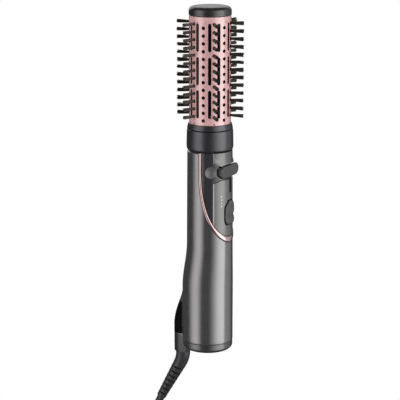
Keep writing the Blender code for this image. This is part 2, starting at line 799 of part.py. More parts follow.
def fan():
    """Motor held in a shroud by three struts, with the impeller on its shaft."""
    centre = (0.0, LOWER_CENTRE)
    can = [(0, -6), (1.4, -6), (1.4, -20), (12.5, -20), (12.5, 8), (0, 8)]
    turned("fan_motor", can, "steel", "handle", centre, 24)
    shroud = turned("fan_shroud", tube(17.6, 18.4, -40.0, 0.0), "inner_plastic", "handle", centre)
    for azimuth in (0.0, 120.0, 240.0):
        strut = (azimuth - 5.0, azimuth + 5.0)
        unite(shroud, shifted_plate("strut", strut, (-12.0, -4.0), (12.8, 18.0)))
    turned("fan_shaft", disc(1.0, -37.0, -7.0), "steel", "fan_body", centre, 12)
    blades = []
    for blade in range(7):
        middle = 360.0 * blade / 7
        for turn, radius in ((-9.0, 5.0), (-3.0, 16.9), (3.0, 16.9), (9.0, 5.0), (25.7, 5.0)):
            blades.append((middle + turn, 1.3, radius))
    ring_prism("impeller", blades, -36.0, -25.0, "inner_plastic", "fan_body", centre, 24.0)


def shifted_plate(name, azimuths, z_span, radii):
    """A curved plate round the fan's axis."""
    plate = curved_plate(name, azimuths, z_span, radii, "inner_plastic", "handle")
    plate.data.transform(Matrix.Translation((0.0, LOWER_CENTRE * METRES, 0.0)))
    return plate


def grille():
    """Removable inlet band with a slotted floor and the gauze that it holds."""
    centre = (0.0, LOWER_CENTRE)
    outer = [(0, GRILLE_BOTTOM), (18.4, GRILLE_BOTTOM), (20.9, -51.5), (22.2, -50.0), (22.6, -48.4)]
    rim = [(22.6, SHELL_BOTTOM - GAP), (20.0, SHELL_BOTTOM - GAP), (20.0, -41.6), (18.8, -41.6)]
    inner = [(18.8, -48.6), (17.6, -50.0), (0, -50.0)]
    band = turned("inlet_grille", outer + rim + inner, "control_grey", "grille_body", centre, 32)
    for side in (-1, 1):
        for row in range(3):
            x = side * (5.0 + 4.2 * row)
            reach = math.sqrt(16.5 ** 2 - x ** 2)
            y_span = (LOWER_CENTRE - reach, LOWER_CENTRE + reach)
            slot = box("slot", (x - 1.1, x + 1.1), y_span, (-54, -48), "steel", "grille_body")
            cut(band, slot)
    notch_heights = (-54.0, -40.0)
    cut(band, hump_notch(notch_heights))
    gauze = turned("filter_gauze", disc(18.4, -43.6, -42.8), "steel", "grille_body", centre)
    cut(gauze, hump_notch(notch_heights))


def hump_notch(heights):
    """Room for the hump's foot, which comes down beside the grille."""
    sections = [hump_section(z, -0.4, FOOT_FRONT - 0.4) for z in heights]
    return lofted("notch", sections, "steel", "grille_body")


# ---------------------------------------------------------------- brush head

def head_base():
    """Ring that locks on the handle, and the bush that the barrel turns on."""
    skirt = [(17.6, RING_BOTTOM), (18.6, RING_BOTTOM), (19.9, 133.0), (20.7, 134.6), (20.8, 137.0)]
    top = [(20.4, RING_TOP), (15.3, RING_TOP), (15.3, 160.0), (13.9, 160.0), (13.9, 144.0)]
    groove = [(17.6, 142.6), (17.6, 141.2), (18.8, 141.2), (18.8, 136.8), (17.6, 136.8)]
    turned("head_ring", skirt + top + groove, "ring_satin", "head_body", segments=32)
    bush = [(15.6, 150.0), (16.5, 150.0), (16.5, 160.2), (17.4, 160.2), (17.4, 161.4), (15.6, 161.4)]
    turned("head_bush", bush, "brass", "head_body")


def barrel_columns():
    """Azimuths within one sixth of the barrel where the sheet's columns meet."""
    hole = math.degrees(HOLE_HALF / BARREL_RADIUS)
    slot = math.degrees(SLOT_HALF / BARREL_RADIUS)
    half_row = ROW_STEP / 2
    return (
        (0.0, hole, hole_rows(TUFT_TOP_Z)),
        (SLOT_OFFSET, slot, SLOT_SPANS),
        (half_row, hole, hole_rows(AIR_TOP_Z)),
        (ROW_STEP - SLOT_OFFSET, slot, SLOT_SPANS),
    )


def hole_rows(top):
    rows = []
    for hole in reversed(range(HOLES_PER_ROW)):
        z = top - HOLE_PITCH * hole
        rows.append((z - HOLE_HALF, z + HOLE_HALF))
    return rows


class Sheet:
    """Points and faces of the unrolled barrel wall, without repeated points."""

    def __init__(self):
        self.points = []
        self.faces = []
        self.index = {}

    def at(self, azimuth, z):
        key = (round(azimuth % 360.0, 6), round(z, 6))
        if key not in self.index:
            self.index[key] = len(self.points)
            self.points.append((azimuth, z))
        return self.index[key]

    def add(self, corners):
        self.faces.append([self.at(*corner) for corner in corners])


def punched_column(sheet, centre, half, openings, low, high):
    """A column of the wall with four-sided openings; gives the heights along its edges."""
    edge = [low]
    for bottom, top in openings:
        add_cell(sheet, centre, half, edge[-1], bottom)
        edge += (bottom, top)
    add_cell(sheet, centre, half, edge[-1], high)
    return edge + [high]


def add_cell(sheet, centre, half, bottom, top):
    left, right = centre - half, centre + half
    sheet.add([(left, bottom), (right, bottom), (right, top), (left, top)])


def zip_strip(sheet, left, right, left_heights, right_heights):
    """Triangles between two columns whose points are at different heights."""
    i, j = 0, 0
    while i < len(left_heights) - 1 or j < len(right_heights) - 1:
        next_left = left_heights[i + 1] if i < len(left_heights) - 1 else math.inf
        next_right = right_heights[j + 1] if j < len(right_heights) - 1 else math.inf
        corners = [(left, left_heights[i]), (right, right_heights[j])]
        if next_left <= next_right:
            corners.append((left, next_left))
            i += 1
        else:
            corners.append((right, next_right))
            j += 1
        sheet.add(corners)


def barrel():
    """Thin tube with rows of holes for the tufts, rows of air holes, and slots beside the tufts."""
    low, high = COLLAR_TOP + 2 * GAP, BARREL_TOP
    sheet = Sheet()
    columns = []
    for row in range(ROWS):
        for offset, half, openings in barrel_columns():
            centre = ROW_AZIMUTH + ROW_STEP * row + offset
            heights = punched_column(sheet, centre, half, openings, low, high)
            columns.append((centre - half, centre + half, heights))
    for index, (_, right_edge, heights) in enumerate(columns):
        left_edge, _, other = columns[(index + 1) % len(columns)]
        zip_strip(sheet, right_edge, left_edge, heights, other)

    def inner(azimuth, z):
        return around(azimuth, BARREL_RADIUS - BARREL_WALL, z)

    def outer(azimuth, z):
        return around(azimuth, BARREL_RADIUS, z)

    solid = close_sheet(sheet.points, sheet.faces, inner, outer)
    make_object("barrel", *solid, "rose_barrel", "barrel_body")


def barrel_ends():
    """Tip cap, collar and the hub that takes the drive rod."""
    crown = [(0, CAP_TOP), (12.5, CAP_TOP), (15.6, 257.4), (17.6, 256.0), (18.6, 253.6)]
    crown += [(CAP_RADIUS, 251.8), (CAP_RADIUS, BARREL_TOP + GAP)]
    spigot = [(15.3, BARREL_TOP + GAP), (15.3, 243.0), (13.3, 243.0), (13.3, 252.0), (0, 252.0)]
    turned("tip_cap", crown + spigot, "soft_black", "barrel_body", segments=32)
    collar = [(16.8, 150.2), (19.9, 150.2), (20.2, 150.6), (19.2, COLLAR_TOP), (18.8, 155.3)]
    sleeve = [(17.6, 155.3), (17.6, 159.9), (16.8, 159.9)]
    turned("barrel_collar", collar + sleeve, "ring_satin", "barrel_body", segments=32)
    spokes = star(3, 4.6, 17.4, 1.3, 2.15, ROW_AZIMUTH + ROW_STEP / 2)
    core = ring_prism("barrel_core", spokes, CORE_HUB_BOTTOM, CORE_HUB_TOP, "inner_plastic", "barrel_body")
    cone = [(3.2, CORE_HUB_TOP - 1.0), (4.4, CORE_HUB_TOP - 1.0), (CORE_RADIUS, CORE_HUB_TOP + 8.0)]
    wall = [(CORE_RADIUS, CORE_TOP), (CORE_RADIUS - 1.2, CORE_TOP), (CORE_RADIUS - 1.2, CORE_HUB_TOP + 8.6)]
    unite(core, turned("deflector", cone + wall, "inner_plastic", "barrel_body", segments=24))


def bristle_strips():
    """Six bars behind the wall, each with a row of tufts that stand out through its holes."""
    for row in range(ROWS):
        azimuth = ROW_AZIMUTH + ROW_STEP * row
        vertices, faces = strip_mesh(math.radians(azimuth))
        name = "bristle_strip_" + str(row + 1)
        make_object(name, vertices, faces, "bristle_black", "barrel_body")


def strip_mesh(angle):
    """A bar whose outer face carries one tapered tuft in each of its cells."""
    out = Vector((math.sin(angle), -math.cos(angle), 0.0))
    side = Vector((math.cos(angle), math.sin(angle), 0.0))
    vertices = []
    faces = []

    def add(reach, across, z):
        vertices.append(out * reach + side * across + Vector((0.0, 0.0, z)))
        return len(vertices) - 1

    def rung(z):
        corners = ((15.8, -2.4), (15.8, 2.4), (17.4, 2.4), (17.4, -2.4))
        return [add(reach, across, z) for reach, across in corners]

    bottom = TUFT_TOP_Z - HOLE_PITCH * (HOLES_PER_ROW - 1)
    low = rung(bottom - 2.0)
    faces.append(low)
    for tuft in range(HOLES_PER_ROW):
        z = bottom + HOLE_PITCH * tuft
        last = tuft == HOLES_PER_ROW - 1
        high = rung(z + (2.6 if last else HOLE_PITCH / 2))
        for step in (0, 1, 3):
            faces.append((low[step], low[(step + 1) % 4], high[(step + 1) % 4], high[step]))
        loops = []
        for reach, half_across, half_tall in ((17.4, 0.75, 0.75), (TIP_RADIUS, 1.2, 1.6)):
            loops.append([add(reach, half_across, z - half_tall), add(reach, half_across, z + half_tall),
                          add(reach, -half_across, z + half_tall), add(reach, -half_across, z - half_tall)])
        frame = (low[2], high[2], high[3], low[3])
        root, tip = loops
        for step in range(4):
            after = (step + 1) % 4
            faces.append((frame[step], frame[after], root[after], root[step]))
            faces.append((root[step], root[after], tip[after], tip[step]))
        faces.append(tuple(tip))
        low = high
    faces.append(low)
    return vertices, faces


# ---------------------------------------------------------------- cord

def boot_path():
    """Centre line of the strain relief: down, round a bend to the rear, then straight."""
    path = [(EXIT_Y, BOOT_TOP), (EXIT_Y, BOOT_TOP - BOOT_DROP)]
    for step in range(1, 5):
        angle = math.radians(BOOT_ANGLE * step / 4)
        y = EXIT_Y + BOOT_BEND * (1 - math.cos(angle))
        path.append((y, BOOT_TOP - BOOT_DROP - BOOT_BEND * math.sin(angle)))
    y, z = path[-1]
    slope = math.radians(BOOT_ANGLE)
    ribs = 8
    for step in range(1, 2 * ribs + 1):
        reach = BOOT_STRAIGHT * step / (2 * ribs)
        path.append((y + reach * math.sin(slope), z - reach * math.cos(slope)))
    return path


def strain_relief():
    """Tapered boot whose lower part is ribbed so that it bends."""
    path = boot_path()
    radii = []
    for index in range(len(path)):
        share = index / (len(path) - 1)
        radius = BOOT_TOP_RADIUS + (BOOT_END_RADIUS - BOOT_TOP_RADIUS) * share
        groove = 0.7 if index > 8 and index % 2 else 0.0
        radii.append(radius - groove)
    lofted("strain_relief", tube_sections(path, radii, 12), "cord_black", "cord_body")


def hank_outline():
    """Outline of the folded cord, with round ends and a waist under the tie, as (x, z)."""
    half = HANK_BEND + HANK_LAYER + CORD_RADIUS + 0.1
    middle = (HANK_BEND + HANK_WAIST) / 2 + HANK_LAYER + CORD_RADIUS + 0.1
    swing = (HANK_BEND - HANK_WAIST) / 2
    right = []
    for step in range(1, 12):
        share = step / 12
        right.append((middle + swing * math.cos(2 * math.pi * share), HANK_TOP - HANK_RUN * share))
    outline = []
    for step in range(17):
        angle = math.pi * step / 16
        outline.append((-half * math.cos(angle), HANK_TOP + half * math.sin(angle)))
    outline += right
    for step in range(17):
        angle = math.pi * step / 16
        outline.append((half * math.cos(angle), HANK_TOP - HANK_RUN - half * math.sin(angle)))
    outline += [(-x, z) for x, z in reversed(right)]
    return outline


def cord():
    """Swivel sleeve, free stretch, folded hank with its tie, short tail and the plug."""
    sleeve = [(3.8, -60.1), (SWIVEL_RADIUS, -60.1), (SWIVEL_RADIUS, -57.4), (5.1, -57.4)]
    sleeve += [(5.1, -55.6), (3.8, -55.6)]
    turned("cord_swivel", sleeve, "inner_plastic", "cord_body", (0.0, EXIT_Y), 24)
    cable("cord", smooth_route(CORD_ROUTE, 2.5 * CORD_RADIUS), CORD_RADIUS, 3, "cord_black", "cord_body")
    sections = []
    for y in (HANK_Y - HANK_HALF_THICKNESS, HANK_Y + HANK_HALF_THICKNESS):
        sections.append([(x, y, z) for x, z in hank_outline()])
    lofted("cord_hank", sections, "cord_black", "cord_body")
    middle = HANK_TOP - HANK_RUN / 2
    band = []
    for step in range(32):
        turn = 2 * math.pi * step / 32
        band.append((tie_point(turn, 0.0), tie_point(turn, 1.2)))
    ring = [[(*inner, middle - 5), (*outer, middle - 5), (*outer, middle + 5), (*inner, middle + 5)]
            for inner, outer in band]
    closed_loop("cord_tie", ring, "soft_black", "cord_body")
    tail = [(TAIL_X, TAIL_Y, TAIL_TOP - TAIL_LENGTH * step / 3) for step in range(4)]
    cable("cord_tail", tail, CORD_RADIUS, 3, "cord_black", "cord_body")
    plug(TAIL_TOP - TAIL_LENGTH - GAP)


def tie_point(turn, grow):
    """Point on the tie's rounded rectangle round the hank's waist."""
    x = math.copysign(abs(math.cos(turn)) ** 0.2, math.cos(turn))
    y = math.copysign(abs(math.sin(turn)) ** 0.2, math.sin(turn))
    return ((15.7 + grow) * x, HANK_Y + (HANK_HALF_THICKNESS + 1.2 + grow) * y)


def closed_loop(name, rings, slot, body):
    """A solid through sections that close on the first one again."""
    count = len(rings[0])
    vertices = [point for ring in rings for point in ring]
    faces = []
    for index in range(len(rings)):
        low = index * count
        high = (index + 1) % len(rings) * count
        for step in range(count):
            after = (step + 1) % count
            faces.append((low + step, low + after, high + after, high + step))
    return make_object(name, vertices, faces, slot, body)


def plug(top):
    """Flat two-pin plug: a rounded, waisted body and two round pins."""
    sections = []
    for drop, half_x, half_y in PLUG_LEVELS:
        section = []
        for step in range(16):
            turn = 2 * math.pi * (step + 0.5) / 16
            x = math.copysign(abs(math.cos(turn)) ** 0.6, math.cos(turn)) * half_x
            y = math.copysign(abs(math.sin(turn)) ** 0.6, math.sin(turn)) * half_y
            section.append((TAIL_X + x, TAIL_Y + y, top - drop))
        sections.append(section)
    lofted("plug_body", sections, "cord_black", "cord_body")
    pin_top = top - PLUG_LENGTH - GAP
    for side, word in ((-1, "left"), (1, "right")):
        pin = [(0, pin_top), (2, pin_top), (2, pin_top - PIN_LENGTH + 1), (1.2, pin_top - PIN_LENGTH)]
        pin.append((0, pin_top - PIN_LENGTH))
        centre = (TAIL_X + side * PIN_SPACING / 2, TAIL_Y)
        turned("plug_pin_" + word, pin, "brass", "cord_body", centre, 12)


def cord_anchor():
    """Inside the hump: the lead, its clamp with two screws, and the wires up to the board."""
    route = ((0, EXIT_Y, -55.2), (0, 27.4, -48), (0, 26.0, -41), (0, 25.4, -36), (0, 25.4, -26))
    cable("inner_lead", smooth_route(route, 6.0), 3.2, 2, "cord_black", "handle")
    clamp = box("cord_clamp", (-6.0, 6.0), (21.6, 28.8), (-35.4, -28.4), "inner_plastic", "handle")
    cut(clamp, turned("lead_bore", disc(3.55, -37, -27), "steel", "handle", (0, 25.4), 16))
    for side, word in ((-1, "left"), (1, "right")):
        centre = (side * 4.8, 23.4)
        cut(clamp, turned("screw_bore", disc(0.95, -34.4, -27), "steel", "handle", centre, 10))
        screw = [(0, -33.6), (0.65, -33.6), (0.65, -28.1), (1.8, -28.1), (1.8, -26.6), (0, -26.6)]
        turned("clamp_screw_" + word, screw, "steel", "handle", centre, 10)
    wires = ((0, 25.4, -25.4), (0.2, 24.0, -16), (1, 21.6, -6), (3, 21.2, 2), (6, 19.6, 11),
             (8.4, 16.4, 24), (8.6, 14.2, 38), (8.2, 14.2, 50), (6.0, 14.6, 59.3))
    cable("wire_loom", smooth_route(wires, 6.0), 0.7, 1, "board_green", "handle")


def heel_pad():
    pad_solid("heel_pad", 0.7, -0.1, PAD_BOTTOM, PAD_TOP, PAD_FRONT)


def build():
    clear_scene()
    make_body("handle")
    make_body("head_body", (0, 0, RING_BOTTOM), "handle")
    make_body("barrel_body", (0, 0, COLLAR_TOP), "head_body")
    make_body("drive_body", (0, 0, GEAR_Z), "handle")
    make_body("pinion_body", (0, TOOTH_MODULE * (GEAR_TEETH + PINION_TEETH) / 2, GEAR_Z), "handle")
    make_body("fan_body", (0, LOWER_CENTRE, -30), "handle")
    make_body("rocker_body", (0, ROCKER_AXIS_Y, ROCKER_Z), "handle")
    make_body("knob_body", (0, -20, SWITCH_BOTTOM), "handle")
    for side, word in ((-1, "left"), (1, "right")):
        make_body("release_body_" + word, around(side * BUTTON_AZIMUTH, 19, ROCKER_Z), "handle")
    make_body("grille_body", (0, LOWER_CENTRE, SHELL_BOTTOM), "handle")
    make_body("cord_body", (0, EXIT_Y, HUMP_BOTTOM), "handle")
    main_housing()
    front_inlay()
    trim_strip()
    control_panel()
    upper_panel()
    heel_pad()
    rocker()
    slide_switch()
    release_buttons()
    drive_train()
    heater()
    fan()
    grille()
    head_base()
    barrel()
    barrel_ends()
    bristle_strips()
    strain_relief()
    cord()
    cord_anchor()


build()
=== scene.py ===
"""Looks of the hot air brush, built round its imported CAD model.

Shapes are worked out in millimetres in the CAD frame and turned into metres by add_piece. Azimuths are in
degrees from the front (-Y), positive towards +X. Heights and radii come from the CAD nodes' boxes.
"""

import json
import math
import random

import bmesh
import bpy
from mathutils import Matrix, Vector


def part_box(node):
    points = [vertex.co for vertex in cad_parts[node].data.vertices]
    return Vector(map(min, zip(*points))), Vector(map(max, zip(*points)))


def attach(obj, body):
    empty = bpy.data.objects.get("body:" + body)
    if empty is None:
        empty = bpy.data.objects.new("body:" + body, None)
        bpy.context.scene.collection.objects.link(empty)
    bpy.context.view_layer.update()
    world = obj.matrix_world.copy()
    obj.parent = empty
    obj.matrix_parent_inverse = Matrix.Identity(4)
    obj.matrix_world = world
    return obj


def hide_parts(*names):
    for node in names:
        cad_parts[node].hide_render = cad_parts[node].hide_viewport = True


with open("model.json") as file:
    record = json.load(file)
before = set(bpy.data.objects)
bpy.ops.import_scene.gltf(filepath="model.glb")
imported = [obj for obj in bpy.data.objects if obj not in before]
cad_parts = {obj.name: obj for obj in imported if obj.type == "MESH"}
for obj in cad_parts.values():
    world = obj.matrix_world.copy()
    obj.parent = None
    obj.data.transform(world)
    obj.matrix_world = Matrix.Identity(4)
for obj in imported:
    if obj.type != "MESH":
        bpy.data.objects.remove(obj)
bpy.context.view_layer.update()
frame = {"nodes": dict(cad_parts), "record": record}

MM = 0.001
GAP = 0.3


def low(node):
    """Lowest corner of a CAD node, in millimetres."""
    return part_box(node)[0] / MM


def high(node):
    """Highest corner of a CAD node, in millimetres."""
    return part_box(node)[1] / MM


# Handle, from the frame
SHELL_TOP = high("main_housing").z
HUMP_BOTTOM = low("main_housing").z
HUMP_REAR = high("main_housing").y
GRILLE_BOTTOM = low("inlet_grille").z
SHELL_BOTTOM = -44.2
WALL = 2.6
TOP_RADIUS = 20.1
WAIST_RADIUS = 20.6
LOWER_RADIUS = 22.8
LOWER_CENTRE = 2.1
WAIST_Z = 47.0
LOWER_Z = 6.0
RECESS_DEPTH = 1.8
HUMP_HALF_WIDTH = 10.0
HUMP_TOP = 10.0
HUMP_EDGE = 146.0
HUMP_BACK = 162.0
HUMP_FULL = -34.0
HUMP_WALL = 2.2
HUMP_FILLET = 2.5
FOOT_FRONT = 19.5
PAD_TOP = high("heel_pad").z
PAD_END = low("heel_pad").z + 4.2
EXIT_Y = 27.6
GAUZE_Z = -43.2

# Trim and panels
TRIM_CENTRE_Z = 114.4
TRIM_DEPTH = 64.7
TRIM_STRAIGHT_Z = 123.0
TRIM_HALF_ANGLE = 92.0
TRIM_SIDE_WIDTH = 2.2
TRIM_BOTTOM_WIDTH = 5.5
PANEL_HALF_ANGLE = 54.0
LOWER_PANEL_TOP = 107.4
UPPER_PANEL_BOTTOM = 120.0
EDGE_ANGLE = 2.3
EDGE_DROP = 0.72
INLAY_DEPTHS = (1.5, 1.1)
PANEL_DEPTHS = (0.8, 0.0)

# Controls
ROCKER_Z = (low("rocker").z + high("rocker").z) / 2
ROCKER_HALF_HEIGHT = (high("rocker").z - low("rocker").z) / 2
ROCKER_HALF_LENGTH = high("rocker").x
ROCKER_FACE_Y = low("rocker").y
ROCKER_BACK_Y = -18.4
ROCKER_AXIS_Y = -15.4
WINDOW_HALF_LENGTH = 14.0
WINDOW_HALF_HEIGHT = 6.7
KNOB_BOTTOM = low("slide_knob").z
KNOB_TOP = high("slide_knob").z
KNOB_HALF_ANGLE = 21.5
KNOB_CLEARANCE = 0.35
SWITCH_TRAVEL = 8.1
STEM_SPAN = (75.2, 79.2)
BUTTON_AZIMUTH = 60.0
BUTTON_RADIUS = 5.4
MARK_AZIMUTH = -32.0
MARK_Z = 84.2
MARK_PITCH = 2.9
MARK_SIZES = ((1.7, 0.8), (2.2, 0.55))

# Head
RING_BOTTOM = low("head_ring").z
COLLAR_BOTTOM = low("barrel_collar").z + 1.5
COLLAR_TOP = 156.5
RING_TOP = COLLAR_BOTTOM - 0.6
BARREL_RADIUS = high("barrel").x
BARREL_WALL = 0.6
BARREL_BOTTOM = low("barrel").z
CAP_LIFT = 1.0
BARREL_TOP = high("barrel").z + CAP_LIFT
CAP_TOP = high("tip_cap").z + CAP_LIFT
CAP_RADIUS = high("tip_cap").x
ROWS = 6
ROW_AZIMUTH = -51.0
ROW_STEP = 60.0
HOLES_PER_ROW = 13
HOLE_PITCH = 6.72
TUFT_TOP_Z = 244.5
AIR_TOP_Z = 241.5
HOLE_RADIUS = 1.6
PIN_HOLE_Z = 157.6
PIN_HOLE_RADIUS = 0.7
SLOT_OFFSET = 12.5
SLOT_HALF = 1.45
SLOT_SPANS = ((162.7, 187.5), (192.0, 216.3), (221.0, 245.4))
TIP_RADIUS = 30.5
FILAMENTS = 84
FILAMENT_RADIUS = 0.16
ROOT_RADIUS = 17.0
STRIP_OUTLINE = ((15.8, -2.4), (15.8, 2.4), (17.3, 2.4), (17.3, -2.4))
BLACK_ROWS = (1, 4)

# Cord
CORD_RADIUS = 3.5
BOOT_TOP = high("strain_relief").z
BOOT_DROP = 1.0
BOOT_BEND = 25.0
BOOT_ANGLE = 29.0
BOOT_STRAIGHT = 41.7
BOOT_TOP_RADIUS = 6.7
BOOT_END_RADIUS = 4.3
GROOVE_START = 16.5
GROOVE_PITCH = 5.4
GROOVE_SHARE = 0.36
GROOVE_DEPTH = 2.7
CORD_ROUTE = (
    (0.0, 51.0, -110.3),
    (0.0, 54.1, -116.6),
    (0.0, 56.4, -123.6),
    (0.0, 57.9, -130.9),
    (0.0, 58.4, -139.0),
    (0.0, 58.4, -150.0),
    (0.0, 58.4, -163.7),
)
HANK_Y = (low("cord_hank").y + high("cord_hank").y) / 2
HANK_TOP = -195.0
HANK_RUN = 120.0
INNER_BEND = 21.0
OUTER_BEND = 28.2
HANK_WAIST = 4.0
COLUMN_STEP = 7.2
TAIL_TOP = high("cord_tail").z
TAIL_END = low("cord_tail").z
TIE_HALF_X = 15.3
TIE_HALF_Y = 11.2
TIE_OUTLINE = ((0.0, 4.6), (0.0, 5.0), (0.35, 5.0), (1.2, 4.8),
               (1.2, -4.8), (0.35, -5.0), (0.0, -5.0), (0.0, -4.6))
TAIL_X = 27.3
TAIL_Y = 54.8
FLOOR_Z = -430.0

# Camera and studio
TARGET = Vector((-0.0041, 0.0078, 0.0856))
CAMERA_DISTANCE = 1.3215
CAMERA_AZIMUTH = -62.0
CAMERA_ELEVATION = 14.3
CAMERA_LENS = 133.3
BOX_DISTANCE = 1.2
BOX_HEIGHTS = (-0.75, 1.3)
LEFT_TINT = (1.0, 0.965, 0.975)
LEFT_STOPS = ((-163.0, 0.0), (-156.0, 0.16), (-148.0, 0.42), (-133.0, 0.95),
              (-119.0, 1.15), (-105.0, 0.8), (-92.0, 0.13), (-87.0, 0.0))
RIGHT_STOPS = ((-60.0, 0.0), (-48.0, 0.24), (-35.0, 0.66), (-21.0, 1.2), (-7.0, 1.56),
               (8.0, 1.66), (17.0, 1.66), (21.0, 0.5), (46.0, 0.42), (78.0, 0.0))
REAR_DISTANCE = 2.0
REAR_HEIGHTS = (0.3, 1.5)
REAR_STOPS = ((70.0, 0.3), (105.0, 0.6), (140.0, 1.0), (160.0, 1.0))
FILL_RADIUS = 11.5
FILL_STRENGTH = 0.76
OVERHEAD_RADIUS = 0.9
OVERHEAD_HEIGHT = 1.9
OVERHEAD_STRENGTH = 1.2
FLOOR_RADIUS = 11.0
BACKDROP_RADIUS = 12.0


# ---------------------------------------------------------------- camera and studio

def direction(azimuth, elevation=0.0):
    """Unit vector that points away from the axis at this azimuth and elevation."""
    turn, lift = math.radians(azimuth), math.radians(elevation)
    flat = math.cos(lift)
    return Vector((math.sin(turn) * flat, -math.cos(turn) * flat, math.sin(lift)))


def make_camera():
    data = bpy.data.cameras.new("camera")
    data.lens = CAMERA_LENS
    data.sensor_width = 36.0
    data.clip_end = 60.0
    camera = bpy.data.objects.new("camera", data)
    bpy.context.scene.collection.objects.link(camera)
    away = direction(CAMERA_AZIMUTH, CAMERA_ELEVATION)
    camera.location = TARGET + away * CAMERA_DISTANCE
    camera.rotation_mode = "QUATERNION"
    camera.rotation_quaternion = (-away).to_track_quat("-Z", "Y")
    bpy.context.scene.camera = camera


def glowing(name, strength, colour=(1.0, 1.0, 1.0)):
    """A plain white emitting material."""
    material = bpy.data.materials.new(name)
    material.use_nodes = True
    tree = material.node_tree
    tree.nodes.clear()
    emission = tree.nodes.new("ShaderNodeEmission")
    emission.inputs["Color"].default_value = (*colour, 1.0)
    emission.inputs["Strength"].default_value = strength
    output = tree.nodes.new("ShaderNodeOutputMaterial")
    tree.links.new(emission.outputs["Emission"], output.inputs["Surface"])
    return material


def add_gradient(material, stops):
    """Makes the glow follow stops of (share of the card's width, strength)."""
    tree = material.node_tree
    emission = next(node for node in tree.nodes if node.type == "EMISSION")
    coords = tree.nodes.new("ShaderNodeTexCoord")
    split = tree.nodes.new("ShaderNodeSeparateXYZ")
    curve = tree.nodes.new("ShaderNodeFloatCurve")
    mapping = curve.mapping.curves[0]
    highest = max(value for _, value in stops)
    points = [(share, value / highest) for share, value in stops]
    mapping.points[0].location = points[0]
    mapping.points[1].location = points[-1]
    for point in points[1:-1]:
        mapping.points.new(*point)
    curve.mapping.update()
    scale = tree.nodes.new("ShaderNodeMath")
    scale.operation = "MULTIPLY"
    scale.inputs[1].default_value = highest
    tree.links.new(coords.outputs["UV"], split.inputs["Vector"])
    tree.links.new(split.outputs["X"], curve.inputs["Value"])
    tree.links.new(curve.outputs["Value"], scale.inputs[0])
    tree.links.new(scale.outputs["Value"], emission.inputs["Strength"])


def only_lights(obj):
    """A studio piece that lights the object but isn't seen by the camera."""
    obj.visible_camera = False
    obj.visible_shadow = False


def only_seen(obj):
    """A studio piece that the camera sees but that doesn't light the object."""
    obj.visible_diffuse = False
    obj.visible_glossy = False
    obj.visible_transmission = False
    obj.visible_shadow = False


def softbox(name, distance, heights, stops, colour=(1.0, 1.0, 1.0)):
    """A tall curved card round the axis, whose glow follows stops of (azimuth, strength)."""
    first, last = stops[0][0], stops[-1][0]
    columns = 32
    vertices = []
    faces = []
    for column in range(columns + 1):
        foot = direction(first + (last - first) * column / columns) * distance
        vertices += [(foot.x, foot.y, heights[0]), (foot.x, foot.y, heights[1])]
    for column in range(columns):
        start = 2 * column
        faces.append((start, start + 2, start + 3, start + 1))
    mesh = bpy.data.meshes.new(name)
    mesh.from_pydata(vertices, [], faces)
    layer = mesh.uv_layers.new(name="card")
    for loop in mesh.loops:
        layer.data[loop.index].uv = (loop.vertex_index // 2 / columns, loop.vertex_index % 2)
    material = glowing(name, 1.0, colour)
    add_gradient(material, [((azimuth - first) / (last - first), value) for azimuth, value in stops])
    mesh.materials.append(material)
    card = bpy.data.objects.new(name, mesh)
    bpy.context.scene.collection.objects.link(card)
    only_lights(card)


def studio_shape(name, shape, material):
    """A studio object from a filled bmesh, which is freed."""
    mesh = bpy.data.meshes.new(name)
    shape.to_mesh(mesh)
    shape.free()
    mesh.materials.append(material)
    obj = bpy.data.objects.new(name, mesh)
    bpy.context.scene.collection.objects.link(obj)
    return obj


def round_sheet(name, radius, z, material):
    sheet = bmesh.new()
    bmesh.ops.create_circle(sheet, cap_ends=True, segments=64, radius=radius)
    obj = studio_shape(name, sheet, material)
    obj.location.z = z
    return obj


def dome(name, radius, material):
    ball = bmesh.new()
    bmesh.ops.create_uvsphere(ball, u_segments=48, v_segments=24, radius=radius)
    return studio_shape(name, ball, material)


def make_studio():
    """Two tall softboxes make the bands on the handle; the rest is even light from all round."""
    world = bpy.data.worlds.new("studio")
    world.use_nodes = True
    background = next(node for node in world.node_tree.nodes if node.type == "BACKGROUND")
    background.inputs["Color"].default_value = (0.055, 0.055, 0.057, 1.0)
    bpy.context.scene.world = world
    bpy.context.scene.view_settings.view_transform = "Standard"
    softbox("left_box", BOX_DISTANCE, BOX_HEIGHTS, LEFT_STOPS, LEFT_TINT)
    softbox("right_box", BOX_DISTANCE, BOX_HEIGHTS, RIGHT_STOPS)
    softbox("rear_box", REAR_DISTANCE, REAR_HEIGHTS, REAR_STOPS)
    fill = dome("fill", FILL_RADIUS, glowing("fill_light", FILL_STRENGTH))
    fill.visible_glossy = False
    only_lights(fill)
    glow = glowing("overhead_light", OVERHEAD_STRENGTH)
    overhead = round_sheet("overhead", OVERHEAD_RADIUS, OVERHEAD_HEIGHT, glow)
    overhead.visible_glossy = False
    only_lights(overhead)
    white = glowing("studio_white", 1.0)
    only_seen(round_sheet("floor", FLOOR_RADIUS, FLOOR_Z * MM, white))
    only_seen(dome("backdrop", BACKDROP_RADIUS, white))


# ---------------------------------------------------------------- materials

